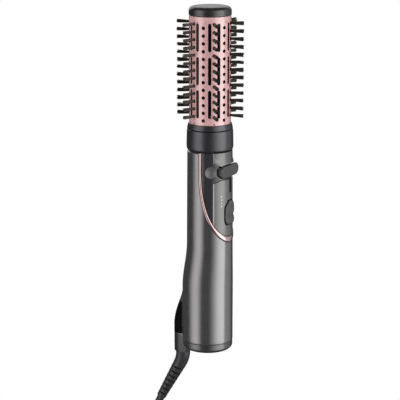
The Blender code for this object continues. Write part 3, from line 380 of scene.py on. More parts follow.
class Finish:
    """A Principled material with helpers that add procedural detail.

    The noise of a helper is given as its size in mm, then its detail and its stretch where they matter.
    """

    def __init__(self, name, colour, roughness, metallic=0.0, **sockets):
        self.material = bpy.data.materials.new(name)
        self.material.use_nodes = True
        self.tree = self.material.node_tree
        self.colour = colour
        self.shader = self.tree.nodes["Principled BSDF"]
        self.last_bump = None
        values = {"Base Color": (*colour, 1.0), "Roughness": roughness, "Metallic": metallic}
        for socket, value in {**values, **sockets}.items():
            self.shader.inputs[socket.replace("_", " ")].default_value = value

    def node(self, kind, **values):
        """A new shader node with these input values."""
        made = self.tree.nodes.new("ShaderNode" + kind)
        for socket, value in values.items():
            made.inputs[socket.replace("_", " ")].default_value = value
        return made

    def link(self, output, node, socket):
        self.tree.links.new(output, node.inputs[socket])

    def noise(self, size_mm, detail=3.0, stretch=(1.0, 1.0, 1.0)):
        """Noise whose patches are about this size; stretch lengthens them along X, Y and Z."""
        mapping = self.node("Mapping", Scale=[1.0 / value for value in stretch])
        texture = self.node("TexNoise", Scale=1000.0 / size_mm, Detail=detail)
        self.link(self.node("TexCoord").outputs["Object"], mapping, "Vector")
        self.link(mapping.outputs["Vector"], texture, "Vector")
        return texture.outputs["Fac"]

    def cells(self, size_mm):
        """Rounded grains of about this size."""
        texture = self.node("TexVoronoi", Scale=1000.0 / size_mm)
        texture.feature = "SMOOTH_F1"
        self.link(self.node("TexCoord").outputs["Object"], texture, "Vector")
        return texture.outputs["Distance"]

    def spread(self, pattern, lowest, highest):
        """The middle part of a pattern stretched between two values."""
        node = self.node("MapRange", From_Min=0.3, From_Max=0.7, To_Min=lowest, To_Max=highest)
        self.link(pattern, node, "Value")
        return node.outputs["Result"]

    def vary_roughness(self, lowest, highest, *noise):
        self.link(self.spread(self.noise(*noise), lowest, highest), self.shader, "Roughness")
        return self

    def vary_colour(self, other, *noise):
        """Runs between the base colour and another one."""
        mix = self.node("Mix")
        mix.data_type = "RGBA"
        colours = [socket for socket in mix.inputs if socket.type == "RGBA"]
        colours[0].default_value = (*self.colour, 1.0)
        colours[1].default_value = (*other, 1.0)
        result = next(socket for socket in mix.outputs if socket.type == "RGBA")
        self.link(self.spread(self.noise(*noise), 0.0, 1.0), mix, "Factor")
        self.link(result, self.shader, "Base Color")
        return self

    def emboss(self, pattern, depth_mm, strength):
        node = self.node("Bump", Strength=strength, Distance=depth_mm * MM)
        self.link(pattern, node, "Height")
        if self.last_bump:
            self.link(self.last_bump, node, "Normal")
        self.last_bump = node.outputs["Normal"]
        self.link(self.last_bump, self.shader, "Normal")
        return self

    def bump(self, depth_mm, strength, *noise):
        return self.emboss(self.noise(*noise), depth_mm, strength)

    def pebbles(self, depth_mm, strength, size_mm):
        return self.emboss(self.cells(size_mm), depth_mm, strength)


def gunmetal():
    """Metallic lacquer: fine flakes under a satin coat, with faint handling marks."""
    made = Finish("gunmetal", (0.335, 0.33, 0.335), 0.22, 0.92, Coat_Weight=0.25, Coat_Roughness=0.14)
    made.vary_colour((0.345, 0.34, 0.345), 1.2, 3.0)
    made.vary_roughness(0.2, 0.25, 9.0, 4.0)
    return made.bump(0.001, 0.1, 0.8, 2.0)


def panel_metal():
    """The same lacquer on the control panels, a little more matt."""
    made = Finish("panel_metal", (0.235, 0.235, 0.23), 0.32, 0.8, Coat_Weight=0.3, Coat_Roughness=0.16)
    made.vary_colour((0.245, 0.245, 0.24), 1.2, 2.0)
    made.vary_roughness(0.3, 0.35, 7.0, 4.0)
    return made.bump(0.002, 0.2, 0.5, 2.0)


def button_metal():
    """Lacquered metal of the round buttons."""
    made = Finish("button_metal", (0.2, 0.2, 0.204), 0.42, 0.4)
    made.vary_colour((0.22, 0.22, 0.225), 0.8, 2.0)
    made.vary_roughness(0.38, 0.46, 2.0, 4.0)
    return made.bump(0.002, 0.2, 0.5, 2.0)


def dark_inlay():
    """Glossy black moulding with fine wiping marks."""
    made = Finish("dark_inlay", (0.03, 0.03, 0.034), 0.14, 0.0, IOR=2.0)
    made.vary_colour((0.036, 0.036, 0.04), 4.0, 4.0)
    made.vary_roughness(0.11, 0.18, 6.0, 5.0, (1.0, 1.0, 3.0))
    return made.bump(0.002, 0.12, 1.2, 2.0)


def rose_chrome():
    """Polished rose-gold plating."""
    made = Finish("rose_chrome", (0.97, 0.72, 0.69), 0.1, 1.0, Coat_Weight=0.5, Coat_Roughness=0.06)
    made.vary_colour((0.95, 0.66, 0.64), 5.0)
    return made.vary_roughness(0.08, 0.14, 3.0, 4.0)


def rose_barrel():
    """Rose-gold ceramic coat on the metal barrel: pearly, with very fine grain."""
    made = Finish("rose_barrel", (1.0, 0.56, 0.555), 0.24, 0.0, Specular_IOR_Level=0.6, Coat_Weight=1.0,
                  Coat_Roughness=0.17, Coat_IOR=2.4)
    made.vary_colour((0.97, 0.53, 0.53), 0.5, 3.0)
    made.vary_roughness(0.21, 0.29, 4.0, 5.0, (1.0, 1.0, 2.0))
    return made.bump(0.003, 0.15, 0.3, 2.0)


def painted_shade_rose_edge():
    """Cut edges of the barrel's openings, a dark copy of the rose colour: painted shade inside the holes."""
    made = Finish("painted_shade_rose_edge", (0.10, 0.03, 0.028), 0.5, 0.3)
    return made.vary_colour((0.06, 0.018, 0.017), 0.5, 3.0)


def ring_satin():
    """Satin moulding with a cool metallic tint."""
    made = Finish("ring_satin", (0.125, 0.125, 0.135), 0.3, 0.9)
    made.vary_colour((0.135, 0.135, 0.146), 2.5, 4.0)
    made.vary_roughness(0.27, 0.34, 5.0, 4.0)
    return made.bump(0.002, 0.25, 0.4, 2.0)


def tip_plastic():
    """Heat-resisting satin plastic of the cool tip."""
    made = Finish("tip_plastic", (0.125, 0.123, 0.121), 0.28, 0.9)
    made.vary_colour((0.135, 0.133, 0.131), 1.5, 4.0)
    made.vary_roughness(0.23, 0.31, 4.0, 4.0)
    return made.bump(0.001, 0.1, 0.6, 2.0)


def control_grey():
    """Soft-touch grey of the rocker and the slide knob, with spark-eroded texture."""
    made = Finish("control_grey", (0.1, 0.103, 0.1), 0.5, 0.15)
    made.vary_colour((0.115, 0.118, 0.115), 0.4, 3.0)
    made.vary_roughness(0.45, 0.57, 3.0, 4.0)
    return made.pebbles(0.02, 0.5, 0.35)


def painted_shadow_black():
    """Near-black material for the gaps round the controls: painted shadow where the gaps fall into shade."""
    made = Finish("painted_shadow_black", (0.004, 0.004, 0.004), 0.7, 0.0, Specular_IOR_Level=0.2)
    made.vary_colour((0.007, 0.007, 0.007), 1.0, 3.0)
    return made.bump(0.01, 0.3, 0.5, 3.0)


def painted_highlight_edge():
    """Lighter copy of the panel lacquer for the control panel's side edges and the rocker window's lip:
    painted highlight, on edges that also reflect the lamps.
    """
    made = Finish("painted_highlight_edge", (0.55, 0.55, 0.55), 0.28, 0.7)
    return made.vary_roughness(0.25, 0.4, 1.0, 3.0)


def grille_grey():
    """Lacquered band round the air inlet."""
    made = Finish("grille_grey", (0.2, 0.199, 0.2), 0.24, 0.9)
    made.vary_colour((0.22, 0.219, 0.22), 0.4, 2.0)
    made.vary_roughness(0.22, 0.27, 8.0, 4.0)
    return made.bump(0.001, 0.1, 0.8, 2.0)


def foot_grey():
    """Darker satin of the moulded foot round the cord's exit."""
    made = Finish("foot_grey", (0.1, 0.1, 0.102), 0.3, 0.85)
    made.vary_colour((0.115, 0.115, 0.117), 0.5, 2.0)
    made.vary_roughness(0.27, 0.34, 5.0, 4.0)
    return made.bump(0.001, 0.15, 0.8, 2.0)


def pad_rubber():
    """Dull black rubber with a fine pebbled skin."""
    made = Finish("pad_rubber", (0.002, 0.002, 0.002), 0.7, 0.0, Specular_IOR_Level=0.12)
    made.vary_colour((0.0035, 0.0035, 0.0035), 2.0, 4.0)
    made.vary_roughness(0.62, 0.8, 1.5, 4.0)
    return made.pebbles(0.08, 0.8, 0.7)


def cord_rubber():
    """Flexible black sheath with a faint lengthwise draw."""
    made = Finish("cord_rubber", (0.03, 0.03, 0.035), 0.36, 0.0, Specular_IOR_Level=1.0)
    made.vary_colour((0.037, 0.037, 0.042), 3.0, 4.0)
    made.vary_roughness(0.33, 0.45, 2.0, 4.0)
    return made.bump(0.01, 0.3, 0.5, 3.0)


def bristle_black():
    """Nylon filaments, a touch brown where they are thin."""
    made = Finish("bristle_black", (0.012, 0.010, 0.009), 0.45, 0.0)
    made.vary_colour((0.06, 0.05, 0.042), 0.8, 3.0)
    return made.vary_roughness(0.38, 0.55, 1.0, 3.0)


def bristle_brown():
    """Softer, browner filaments of the rows between."""
    made = Finish("bristle_brown", (0.03, 0.024, 0.019), 0.5, 0.0)
    made.vary_colour((0.15, 0.13, 0.105), 0.8, 3.0)
    return made.vary_roughness(0.42, 0.6, 1.0, 3.0)


def tie_fabric():
    """Woven hook-and-loop strap."""
    made = Finish("tie_fabric", (0.03, 0.03, 0.033), 0.85, 0.0, Sheen_Weight=0.4)
    made.vary_colour((0.05, 0.05, 0.054), 0.6, 2.0, (3.0, 3.0, 1.0))
    made.bump(0.15, 0.8, 0.5, 2.0, (4.0, 4.0, 1.0))
    return made.pebbles(0.1, 0.6, 0.9)


def mark_white():
    """Printed switch marks."""
    made = Finish("mark_white", (0.85, 0.85, 0.84), 0.5)
    return made.vary_colour((0.75, 0.75, 0.74), 0.3, 3.0)


def painted_shade_core():
    """Heat-resisting plastic inside the barrel, made near-black: painted shade seen through the openings."""
    made = Finish("painted_shade_core", (0.008, 0.007, 0.006), 0.6, 0.0, Specular_IOR_Level=0.3)
    made.vary_colour((0.014, 0.010, 0.009), 3.0, 4.0)
    return made.bump(0.03, 0.4, 0.6, 3.0)


def inner_plastic():
    made = Finish("inner_plastic", (0.16, 0.16, 0.165), 0.5)
    made.vary_colour((0.2, 0.2, 0.205), 4.0, 4.0)
    return made.bump(0.02, 0.4, 0.4, 3.0)


def steel():
    made = Finish("steel", (0.6, 0.6, 0.61), 0.28, 1.0)
    made.vary_roughness(0.2, 0.4, 2.0, 5.0, (1.0, 1.0, 5.0))
    return made.bump(0.01, 0.4, 0.3, 3.0, (1.0, 1.0, 8.0))


def brass():
    """Oil-soaked sintered bronze of the bushes."""
    made = Finish("brass", (0.07, 0.05, 0.03), 0.4, 0.9)
    made.vary_colour((0.045, 0.03, 0.018), 3.0, 4.0)
    made.vary_roughness(0.32, 0.5, 2.0, 5.0)
    return made.bump(0.01, 0.4, 0.3, 3.0)


def pin_metal():
    """Nickel-plated plug pins with light scratches along their length."""
    made = Finish("pin_metal", (0.72, 0.71, 0.68), 0.2, 1.0)
    made.vary_roughness(0.14, 0.34, 0.6, 5.0, (1.0, 1.0, 12.0))
    return made.bump(0.01, 0.4, 0.3, 3.0, (1.0, 1.0, 14.0))


def mica():
    made = Finish("mica", (0.12, 0.095, 0.065), 0.5)
    made.vary_colour((0.085, 0.065, 0.045), 3.0, 5.0, (1.0, 1.0, 3.0))
    return made.bump(0.05, 0.5, 1.0, 4.0)


def board_green():
    made = Finish("board_green", (0.03, 0.17, 0.07), 0.4)
    made.vary_colour((0.05, 0.24, 0.1), 1.5, 3.0)
    return made.bump(0.03, 0.4, 0.7, 3.0)


FINISHES = {}


def finish(maker):
    """The material of a maker above, made when it is first asked for."""
    if maker.__name__ not in FINISHES:
        FINISHES[maker.__name__] = maker().material
    return FINISHES[maker.__name__]


# ---------------------------------------------------------------- mesh helpers

def add_piece(name, vertices, faces, maker):
    """A mesh object from points in millimetres, with outward normals."""
    mesh = bpy.data.meshes.new(name)
    mesh.from_pydata([Vector(vertex) * MM for vertex in vertices], [], faces)
    fix = bmesh.new()
    fix.from_mesh(mesh)
    bmesh.ops.recalc_face_normals(fix, faces=fix.faces)
    if fix.calc_volume(signed=True) < 0:
        bmesh.ops.reverse_faces(fix, faces=fix.faces)
    fix.to_mesh(mesh)
    fix.free()
    mesh.materials.append(finish(maker))
    shade(mesh)
    obj = bpy.data.objects.new(name, mesh)
    bpy.context.scene.collection.objects.link(obj)
    return obj


def shade(mesh, angle=35.0):
    mesh.shade_smooth()
    mesh.set_sharp_from_angle(angle=math.radians(angle))


def combine(obj, other, operation):
    """Applies a Boolean with another object, which is then removed."""
    modifier = obj.modifiers.new("boolean", "BOOLEAN")
    modifier.operation = operation
    modifier.solver = "EXACT"
    modifier.material_mode = "TRANSFER"
    modifier.object = other
    bake_modifiers(obj)
    bpy.data.objects.remove(other)
    return obj


def bake_modifiers(obj):
    bpy.context.view_layer.update()
    graph = bpy.context.evaluated_depsgraph_get()
    result = bpy.data.meshes.new_from_object(obj.evaluated_get(graph))
    obj.modifiers.clear()
    obj.data = result
    result.name = obj.name
    shade(result)


def cut(obj, cutter):
    return combine(obj, cutter, "DIFFERENCE")


def rounded(obj, width, segments=2, angle=32.0):
    """Rounds the sharp edges."""
    modifier = obj.modifiers.new("rounding", "BEVEL")
    modifier.width = width * MM
    modifier.segments = segments
    modifier.limit_method = "ANGLE"
    modifier.angle_limit = math.radians(angle)
    modifier.harden_normals = True
    return obj


def settle(obj, body, slot, *nodes):
    """Rides on a CAD body and stands for CAD nodes; its slot argument is not used."""
    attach(obj, body)
    if nodes:
        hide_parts(*nodes)
    return obj


def grid_faces(row_count, width, closed=False):
    faces = []
    steps = width if closed else width - 1
    for row in range(row_count - 1):
        for column in range(steps):
            right = (column + 1) % width
            first = row * width
            faces.append((first + column, first + right, first + width + right, first + width + column))
    return faces


def turned(name, profile, maker, centre=(0.0, 0.0), segments=96):
    """A turned piece: its closed (radius, z) outline swept round a vertical axis."""
    rings = []
    vertices = []
    for radius, z in profile:
        count = segments if radius > 1e-6 else 1
        rings.append((len(vertices), count))
        for step in range(count):
            angle = 2.0 * math.pi * step / segments
            vertices.append((centre[0] + radius * math.sin(angle), centre[1] - radius * math.cos(angle), z))
    faces = []
    for index, (first, first_count) in enumerate(rings):
        second, second_count = rings[(index + 1) % len(rings)]
        if first_count == 1 and second_count == 1:
            continue
        for step in range(segments):
            after = (step + 1) % segments
            face = [first + step % first_count, first + after % first_count]
            face += [second + after % second_count, second + step % second_count]
            faces.append(list(dict.fromkeys(face)))
    return add_piece(name, vertices, faces, maker)


def add_prism(vertices, faces, sections):
    """Adds a capped solid through closed sections with the same number of points."""
    start, count = len(vertices), len(sections[0])
    for section in sections:
        vertices.extend(section)
    faces += [tuple(start + index for index in face) for face in grid_faces(len(sections), count, True)]
    for end in (start, start + (len(sections) - 1) * count):
        faces.append(tuple(range(end, end + count)))


def lofted(name, sections, maker):
    """A piece that is one capped solid through closed sections."""
    vertices, faces = [], []
    add_prism(vertices, faces, sections)
    return add_piece(name, vertices, faces, maker)


def rod(name, points, radius, resolution, maker, closed=False):
    """A round curve piece along points in millimetres."""
    curve = bpy.data.curves.new(name, "CURVE")
    curve.dimensions = "3D"
    curve.bevel_depth = radius * MM
    curve.bevel_resolution = resolution
    curve.use_fill_caps = not closed
    spline = curve.splines.new("POLY")
    spline.points.add(len(points) - 1)
    for target, point in zip(spline.points, points):
        target.co = (*(Vector(point) * MM), 1.0)
    spline.use_cyclic_u = closed
    spline.use_smooth = True
    curve.materials.append(finish(maker))
    obj = bpy.data.objects.new(name, curve)
    bpy.context.scene.collection.objects.link(obj)
    return obj


def squarish(turn, power):
    """Point at this turn on a unit outline between a circle (power 1) and a square (power 0)."""
    return [math.copysign(abs(value) ** power, value) for value in (math.cos(turn), math.sin(turn))]


def arc(centre, radii, first, last, steps):
    """Points on an ellipse's arc, as (radius, z)."""
    points = []
    for step in range(steps + 1):
        angle = math.radians(first + (last - first) * step / steps)
        points.append((centre[0] + radii[0] * math.cos(angle), centre[1] + radii[1] * math.sin(angle)))
    return points


# ---------------------------------------------------------------- shape of the casing

def smooth(value):
    """Eases 0..1 with flat ends."""
    value = min(max(value, 0.0), 1.0)
    return value * value * (3.0 - 2.0 * value)


def lower_share(z):
    return smooth((WAIST_Z - z) / (WAIST_Z - LOWER_Z))


def body_centre(z):
    return LOWER_CENTRE * lower_share(z)


def body_radius(z):
    taper = (SHELL_TOP - z) / (SHELL_TOP - WAIST_Z)
    upper = TOP_RADIUS + (WAIST_RADIUS - TOP_RADIUS) * min(taper, 1.0)
    return upper + (LOWER_RADIUS - WAIST_RADIUS) * lower_share(z)


def around(azimuth, radius, z, centre_y=0.0):
    angle = math.radians(azimuth)
    return (radius * math.sin(angle), centre_y - radius * math.cos(angle), z)


def skin(azimuth, z, inset=0.0):
    return around(azimuth, body_radius(z) - inset, z, body_centre(z))


def hump_rear(z):
    start = LOWER_RADIUS + LOWER_CENTRE
    return start + (HUMP_REAR - start) * smooth((HUMP_TOP - z) / (HUMP_TOP - HUMP_FULL))


def hump_reach(turn, z, inset):
    """Distance from the casing's axis to the hump's skin, at this turn from the rear, in degrees."""
    half = HUMP_HALF_WIDTH - inset
    middle = hump_rear(z) - HUMP_HALF_WIDTH - body_centre(z)
    angle = math.radians(max(abs(turn), 1e-4))
    side = half / math.sin(angle)
    if side * math.cos(angle) < middle:
        return side
    return middle * math.cos(angle) + math.sqrt(max(half ** 2 - (middle * math.sin(angle)) ** 2, 0.0))


def casing_reach(azimuth, z, inset):
    """Distance from the casing's axis to its skin, with the hump blended in by a fillet."""
    plain = body_radius(z) - inset
    turn = 180.0 - abs(azimuth)
    if z >= HUMP_TOP or turn > 60.0:
        return plain
    hump = hump_reach(turn, z, inset * HUMP_WALL / WALL)
    fillet = HUMP_FILLET * smooth((HUMP_TOP - z) / 15.0) * smooth(z - PAD_END + 0.5) + 1e-6
    overlap = max(fillet - abs(plain - hump), 0.0) / fillet
    return max(plain, hump) + overlap * overlap * fillet / 4


def trim_edge(azimuth, inset):
    """Lowest z inside the U-shaped trim at this azimuth, inset from its outer edge."""
    half = TRIM_HALF_ANGLE - math.degrees(inset / WAIST_RADIUS)
    share = min(abs(azimuth) / half, 1.0)
    return TRIM_CENTRE_Z - (TRIM_DEPTH - inset) * math.sqrt(1.0 - share * share)


def trim_width(azimuth):
    share = math.cos(math.radians(min(abs(azimuth) / TRIM_HALF_ANGLE, 1.0) * 90.0))
    return TRIM_SIDE_WIDTH + (TRIM_BOTTOM_WIDTH - TRIM_SIDE_WIDTH) * share ** 3


def inside_trim(azimuth, z):
    """The point on the trim's inner edge that faces a point on its outer edge."""
    degrees_per_mm = math.degrees(1.0 / WAIST_RADIUS)
    width = trim_width(azimuth)
    if z >= TRIM_CENTRE_Z:
        return (azimuth - math.copysign(width * degrees_per_mm, azimuth), z)
    across = azimuth / TRIM_HALF_ANGLE
    down = (z - TRIM_CENTRE_Z) / TRIM_DEPTH
    normal = Vector((across / (TRIM_HALF_ANGLE / degrees_per_mm), down / TRIM_DEPTH)).normalized()
    return (azimuth - normal.x * width * degrees_per_mm, z - normal.y * width)


# ---------------------------------------------------------------- casing pieces

def casing_columns():
    """(azimuth, inside the trim or not) of the casing's columns, finer where it curves more."""
    steps = 72
    half = TRIM_HALF_ANGLE + math.degrees(GAP / WAIST_RADIUS)
    front = [(half * math.sin(math.pi * (step / steps - 0.5)), True) for step in range(steps + 1)]
    side = [half + 0.05 + (HUMP_EDGE - half) * step / 20 for step in range(21)]
    corner = [HUMP_EDGE + (HUMP_BACK - HUMP_EDGE) * step / 30 for step in range(1, 31)]
    rear = [HUMP_BACK + (180.0 - HUMP_BACK) * step / 14 for step in range(1, 14)]
    half_round = [(azimuth, False) for azimuth in side + corner + rear]
    other = [(-azimuth, False) for azimuth, _ in reversed(half_round)]
    return front + half_round + [(180.0, False)] + other


def casing_column(azimuth, in_trim):
    """Outer points of one column from the bottom to the top, as (z, depth)."""
    edge = trim_edge(azimuth, -GAP) if in_trim else TRIM_CENTRE_Z
    lip = 0.9
    rows = [(SHELL_BOTTOM, 0.4), (SHELL_BOTTOM + 0.15, 0.1), (SHELL_BOTTOM + 0.5, 0.0)]
    count = 56
    for step in range(1, count):
        rows.append((SHELL_BOTTOM + 0.5 + (edge - 0.3 - SHELL_BOTTOM - 0.5) * step / count, 0.0))
    depth = RECESS_DEPTH if in_trim else 0.0
    rows += [(edge - 0.15, 0.0), (edge - 0.04, depth * 0.04), (edge, depth * 0.1), (edge, depth)]
    for step in range(1, 9):
        rows.append((edge + 0.1 + (SHELL_TOP - 1.4 - edge) * step / 8, depth))
    rows += [(SHELL_TOP - lip, depth), (SHELL_TOP - 0.1, max(depth, 0.7)), (SHELL_TOP, max(depth, 0.9))]
    return rows


def casing():
    """The casing: a thin shell with its hump, the recess in the front and openings for the controls."""
    columns = casing_columns()
    grid = [casing_column(*column) for column in columns]
    height = len(grid[0])
    width = len(columns)
    vertices = []
    for row in range(height):
        for (azimuth, _), column in zip(columns, grid):
            z, depth = column[row]
            vertices.append(around(azimuth, casing_reach(azimuth, z, 0.0) - depth, z, body_centre(z)))
    faces = grid_faces(height, width, True)
    inner_heights = [SHELL_BOTTOM + (SHELL_TOP - SHELL_BOTTOM) * step / 30 for step in range(31)]
    start = len(vertices)
    for z in inner_heights:
        for azimuth, _ in columns:
            vertices.append(around(azimuth, casing_reach(azimuth, z, WALL), z, body_centre(z)))
    faces += [tuple(index + start for index in reversed(face)) for face in grid_faces(31, width, True)]
    for outer, inner in ((0, start), ((height - 1) * width, start + 30 * width)):
        for column in range(width):
            after = (column + 1) % width
            faces.append((outer + column, outer + after, inner + after, inner + column))
    shell = add_piece("casing", vertices, faces, gunmetal)
    for opening in control_openings():
        cut(shell, opening)
    shade(shell.data, 30.0)
    settle(shell, "handle", "gunmetal", "main_housing")


def stadium(z, inset, front_y, steps=24):
    """Outline of the hump at one height: straight sides and a round rear end."""
    half = HUMP_HALF_WIDTH - inset
    centre_y = hump_rear(z) - HUMP_HALF_WIDTH
    points = [(half, front_y, z)]
    for step in range(steps + 1):
        angle = math.pi * step / steps
        points.append((half * math.cos(angle), centre_y + half * math.sin(angle), z))
    points.append((-half, front_y, z))
    return points


def foot():
    """Lower end of the hump, which stands down beside the inlet and holds the cord's swivel."""
    levels = ((PAD_END - GAP, -0.06), (-50.0, -0.06), (HUMP_BOTTOM + 1.2, 0.0), (HUMP_BOTTOM + 0.5, 0.12),
              (HUMP_BOTTOM + 0.12, 0.5), (HUMP_BOTTOM, 1.1))
    piece = lofted("casing_foot", [stadium(z, inset, FOOT_FRONT + inset) for z, inset in levels], foot_grey)
    hollow_levels = (PAD_END + 1.0, HUMP_BOTTOM + HUMP_WALL)
    hollow = [stadium(z, HUMP_WALL, FOOT_FRONT + 2.0) for z in hollow_levels]
    cut(piece, lofted("hollow", hollow, foot_grey))
    bore = [(0.0, HUMP_BOTTOM - 1), (4.9, HUMP_BOTTOM - 1), (4.9, HUMP_BOTTOM + 4), (0.0, HUMP_BOTTOM + 4)]
    cut(piece, turned("bore", bore, foot_grey, (0.0, EXIT_Y), 48))
    settle(piece, "handle", "gunmetal")


def heel_pad():
    """Rubber pad that wraps the hump, with rounded edges and its middle a little full."""
    half_angle = 26.0
    rows, columns = 24, 48
    rings = []
    for depth in (-0.15, 0.6):
        ring = []
        for row in range(rows + 1):
            z = PAD_END + (PAD_TOP - PAD_END) * row / rows
            for column in range(columns + 1):
                azimuth = 180.0 + half_angle * (2.0 * column / columns - 1.0)
                reach = casing_reach(azimuth if azimuth <= 180.0 else azimuth - 360.0, z, 0.0) - depth
                ring.append(around(azimuth, reach, z, body_centre(z)))
        rings.append(ring)
    pad = rounded(slab("heel_pad_skin", rings, columns + 1, rows + 1, pad_rubber), 0.25, 2)
    settle(pad, "handle", "soft_black", "heel_pad")


def slab(name, rings, width, height, maker):
    """A closed plate between an outer and an inner grid of points of the same width and height."""
    count = width * height
    faces = grid_faces(height, width)
    faces += [tuple(index + count for index in reversed(face)) for face in faces]
    last = (height - 1) * width
    border = list(range(width)) + [row * width + width - 1 for row in range(1, height)]
    border += [last + column for column in range(width - 2, -1, -1)]
    border += [row * width for row in range(height - 2, 0, -1)]
    for start, end in zip(border, border[1:] + border[:1]):
        faces.append((end, start, start + count, end + count))
    return add_piece(name, rings[0] + rings[1], faces, maker)


def plate(name, rows, depths, maker, edge_width=0.3, swell=None):
    """A curved plate over rows of (azimuth, z) points, between two depths below the casing's skin."""
    outer = []
    for row in rows:
        for azimuth, z in row:
            rise = swell(azimuth, z - row_floor(rows, azimuth)) if swell else 0.0
            outer.append(skin(azimuth, z, depths[1] - rise))
    inner = [skin(azimuth, z, depths[0]) for row in rows for azimuth, z in row]
    piece = slab(name, [outer, inner], len(rows[0]), len(rows), maker)
    for opening in control_openings():
        cut(piece, opening)
    return rounded(piece, edge_width)


def row_floor(rows, azimuth):
    """Height of the lowest row at an azimuth."""
    return min(rows[0], key=lambda point: abs(point[0] - azimuth))[1]


def panel_azimuths(steps=56):
    """Columns of the panels, with one at each side where the sloping edge begins."""
    inner = PANEL_HALF_ANGLE - EDGE_ANGLE
    between = [inner * (2.0 * step / steps - 1.0) for step in range(steps + 1)]
    return [-PANEL_HALF_ANGLE] + between + [PANEL_HALF_ANGLE]


def edge_slope(azimuth, _height=0.0):
    """How the panels' faces fall away at their side edges."""
    return -EDGE_DROP * max(abs(azimuth) - PANEL_HALF_ANGLE + EDGE_ANGLE, 0.0) / EDGE_ANGLE


def paint_edge_highlights(piece):
    """Gives the sloping side edges of a panel the lighter finish: a painted highlight along them."""
    piece.data.materials.append(finish(painted_highlight_edge))
    last = len(piece.data.materials) - 1
    for face in piece.data.polygons:
        azimuth = math.degrees(math.atan2(face.center.x, -face.center.y))
        if abs(azimuth) > PANEL_HALF_ANGLE - EDGE_ANGLE - 0.6:
            face.material_index = last


def front_inlay():
    """Glossy lining of the recess inside the trim."""
    inset = TRIM_SIDE_WIDTH + GAP
    half = TRIM_HALF_ANGLE - math.degrees(inset / WAIST_RADIUS)
    steps = 72
    azimuths = [half * math.sin(math.pi * (step / steps - 0.5)) for step in range(steps + 1)]
    lowest = [max(trim_edge(a, inset), trim_edge(a, trim_width(a) + GAP)) for a in azimuths]
    rows = []
    for share in (0.0, 0.25, 0.5, 0.75, 1.0):
        rows.append([(a, z + (SHELL_TOP - z) * share) for a, z in zip(azimuths, lowest)])
    settle(plate("inlay", rows, INLAY_DEPTHS, dark_inlay, 0.12), "handle", "dark_inlay", "front_inlay")


def trim():
    """U-shaped strip with a crowned face: down one side, round below the controls and up the other side."""
    path = [(-TRIM_HALF_ANGLE, SHELL_TOP), (-TRIM_HALF_ANGLE, TRIM_STRAIGHT_Z)]
    steps = 110
    for step in range(-steps, steps + 1):
        angle = math.radians(90.0 * step / steps)
        path.append((TRIM_HALF_ANGLE * math.sin(angle), TRIM_CENTRE_Z - TRIM_DEPTH * math.cos(angle)))
    path += [(TRIM_HALF_ANGLE, TRIM_STRAIGHT_Z), (TRIM_HALF_ANGLE, SHELL_TOP)]
    levels = [(0.0, 1.5)]
    for step in range(13):
        angle = math.radians(15.0 * step)
        levels.append((0.5 - 0.5 * math.cos(angle), 0.25 - 0.8 * math.sin(angle)))
    levels.append((1.0, 1.5))
    sections = []
    for azimuth, z in path:
        inner = inside_trim(azimuth, z)
        across = Vector(inner) - Vector((azimuth, z))
        sections.append([skin(azimuth + across.x * share, z + across.y * share, depth)
                         for share, depth in levels])
    settle(lofted("trim_chrome", sections, rose_chrome), "handle", "rose_chrome", "trim_strip")


def control_panel():
    """Raised panel below the rocker."""
    rows = []
    for step in range(25):
        share = step / 24
        row = []
        for azimuth in panel_azimuths():
            lowest = trim_edge(azimuth, trim_width(azimuth) + 2 * GAP)
            highest = LOWER_PANEL_TOP - 2.3 * smooth((abs(azimuth) - 30.0) / 24.0)
            row.append((azimuth, lowest + (highest - lowest) * share))
        rows.append(row)
    panel = plate("panel_lower", rows, PANEL_DEPTHS, panel_metal, 0.08, edge_slope)
    paint_edge_highlights(panel)
    settle(panel, "handle", "gunmetal", "control_panel")


def upper_panel():
    """The raised panel's part above the rocker."""
    rows = []
    for step in range(17):
        row = []
        for azimuth in panel_azimuths():
            lowest = UPPER_PANEL_BOTTOM + 3.4 * smooth((abs(azimuth) - 28.0) / 26.0)
            row.append((azimuth, lowest + (SHELL_TOP - lowest) * step / 16))
        rows.append(row)
    panel = plate("panel_upper", rows, PANEL_DEPTHS, panel_metal, 0.3, lip_swell)
    settle(panel, "handle", "gunmetal", "upper_panel")


def lip_swell(azimuth, height):
    """How far the upper panel flares outwards near its lower edge."""
    return edge_slope(azimuth) + 0.9 * smooth((4.8 - height) / 3.6)


def pill(half_length, half_height, y, z, steps=12):
    """Outline of a bar along X with round ends, seen from the front."""
    straight = half_length - half_height
    outline = []
    for sign, start in ((1, -90), (-1, 90)):
        for step in range(steps + 1):
            angle = math.radians(start + 180.0 * step / steps)
            x = sign * straight + half_height * math.cos(angle)
            outline.append((x, y, z + half_height * math.sin(angle)))
    return outline


def control_openings():
    """Cutters for the rocker's window, the slide switch's slot and the two button holes."""
    ends = (-30.0, -12.0)
    window = [pill(WINDOW_HALF_LENGTH, WINDOW_HALF_HEIGHT, y, ROCKER_Z) for y in ends]
    slot_low, slot_high = STEM_SPAN[0] - 0.7, STEM_SPAN[1] + SWITCH_TRAVEL + 0.7
    corners = ((-2.4, slot_low), (2.4, slot_low), (2.4, slot_high), (-2.4, slot_high))
    slot = [[(x, y, z) for x, z in corners] for y in ends]
    cutters = [lofted("window", window, dark_inlay), lofted("slot", slot, dark_inlay)]
    for side in (-1, 1):
        profile = [(13.0, BUTTON_RADIUS + GAP), (30.0, BUTTON_RADIUS + GAP)]
        cutters.append(radial_piece("bore", side * BUTTON_AZIMUTH, profile, ROCKER_Z, dark_inlay))
    return cutters


def radial_piece(name, azimuth, profile, z, maker, sides=48):
    """A turned piece whose axis points away from the handle's axis, from (reach, radius) points."""
    out = direction(azimuth)
    side = direction(azimuth + 90.0)
    sections = []
    for reach, radius in profile:
        section = []
        for step in range(sides):
            turn = 2.0 * math.pi * step / sides
            section.append(out * reach + side * (radius * math.cos(turn))
                           + Vector((0.0, 0.0, z + radius * math.sin(turn))))
        sections.append(section)
    return lofted(name, sections, maker)


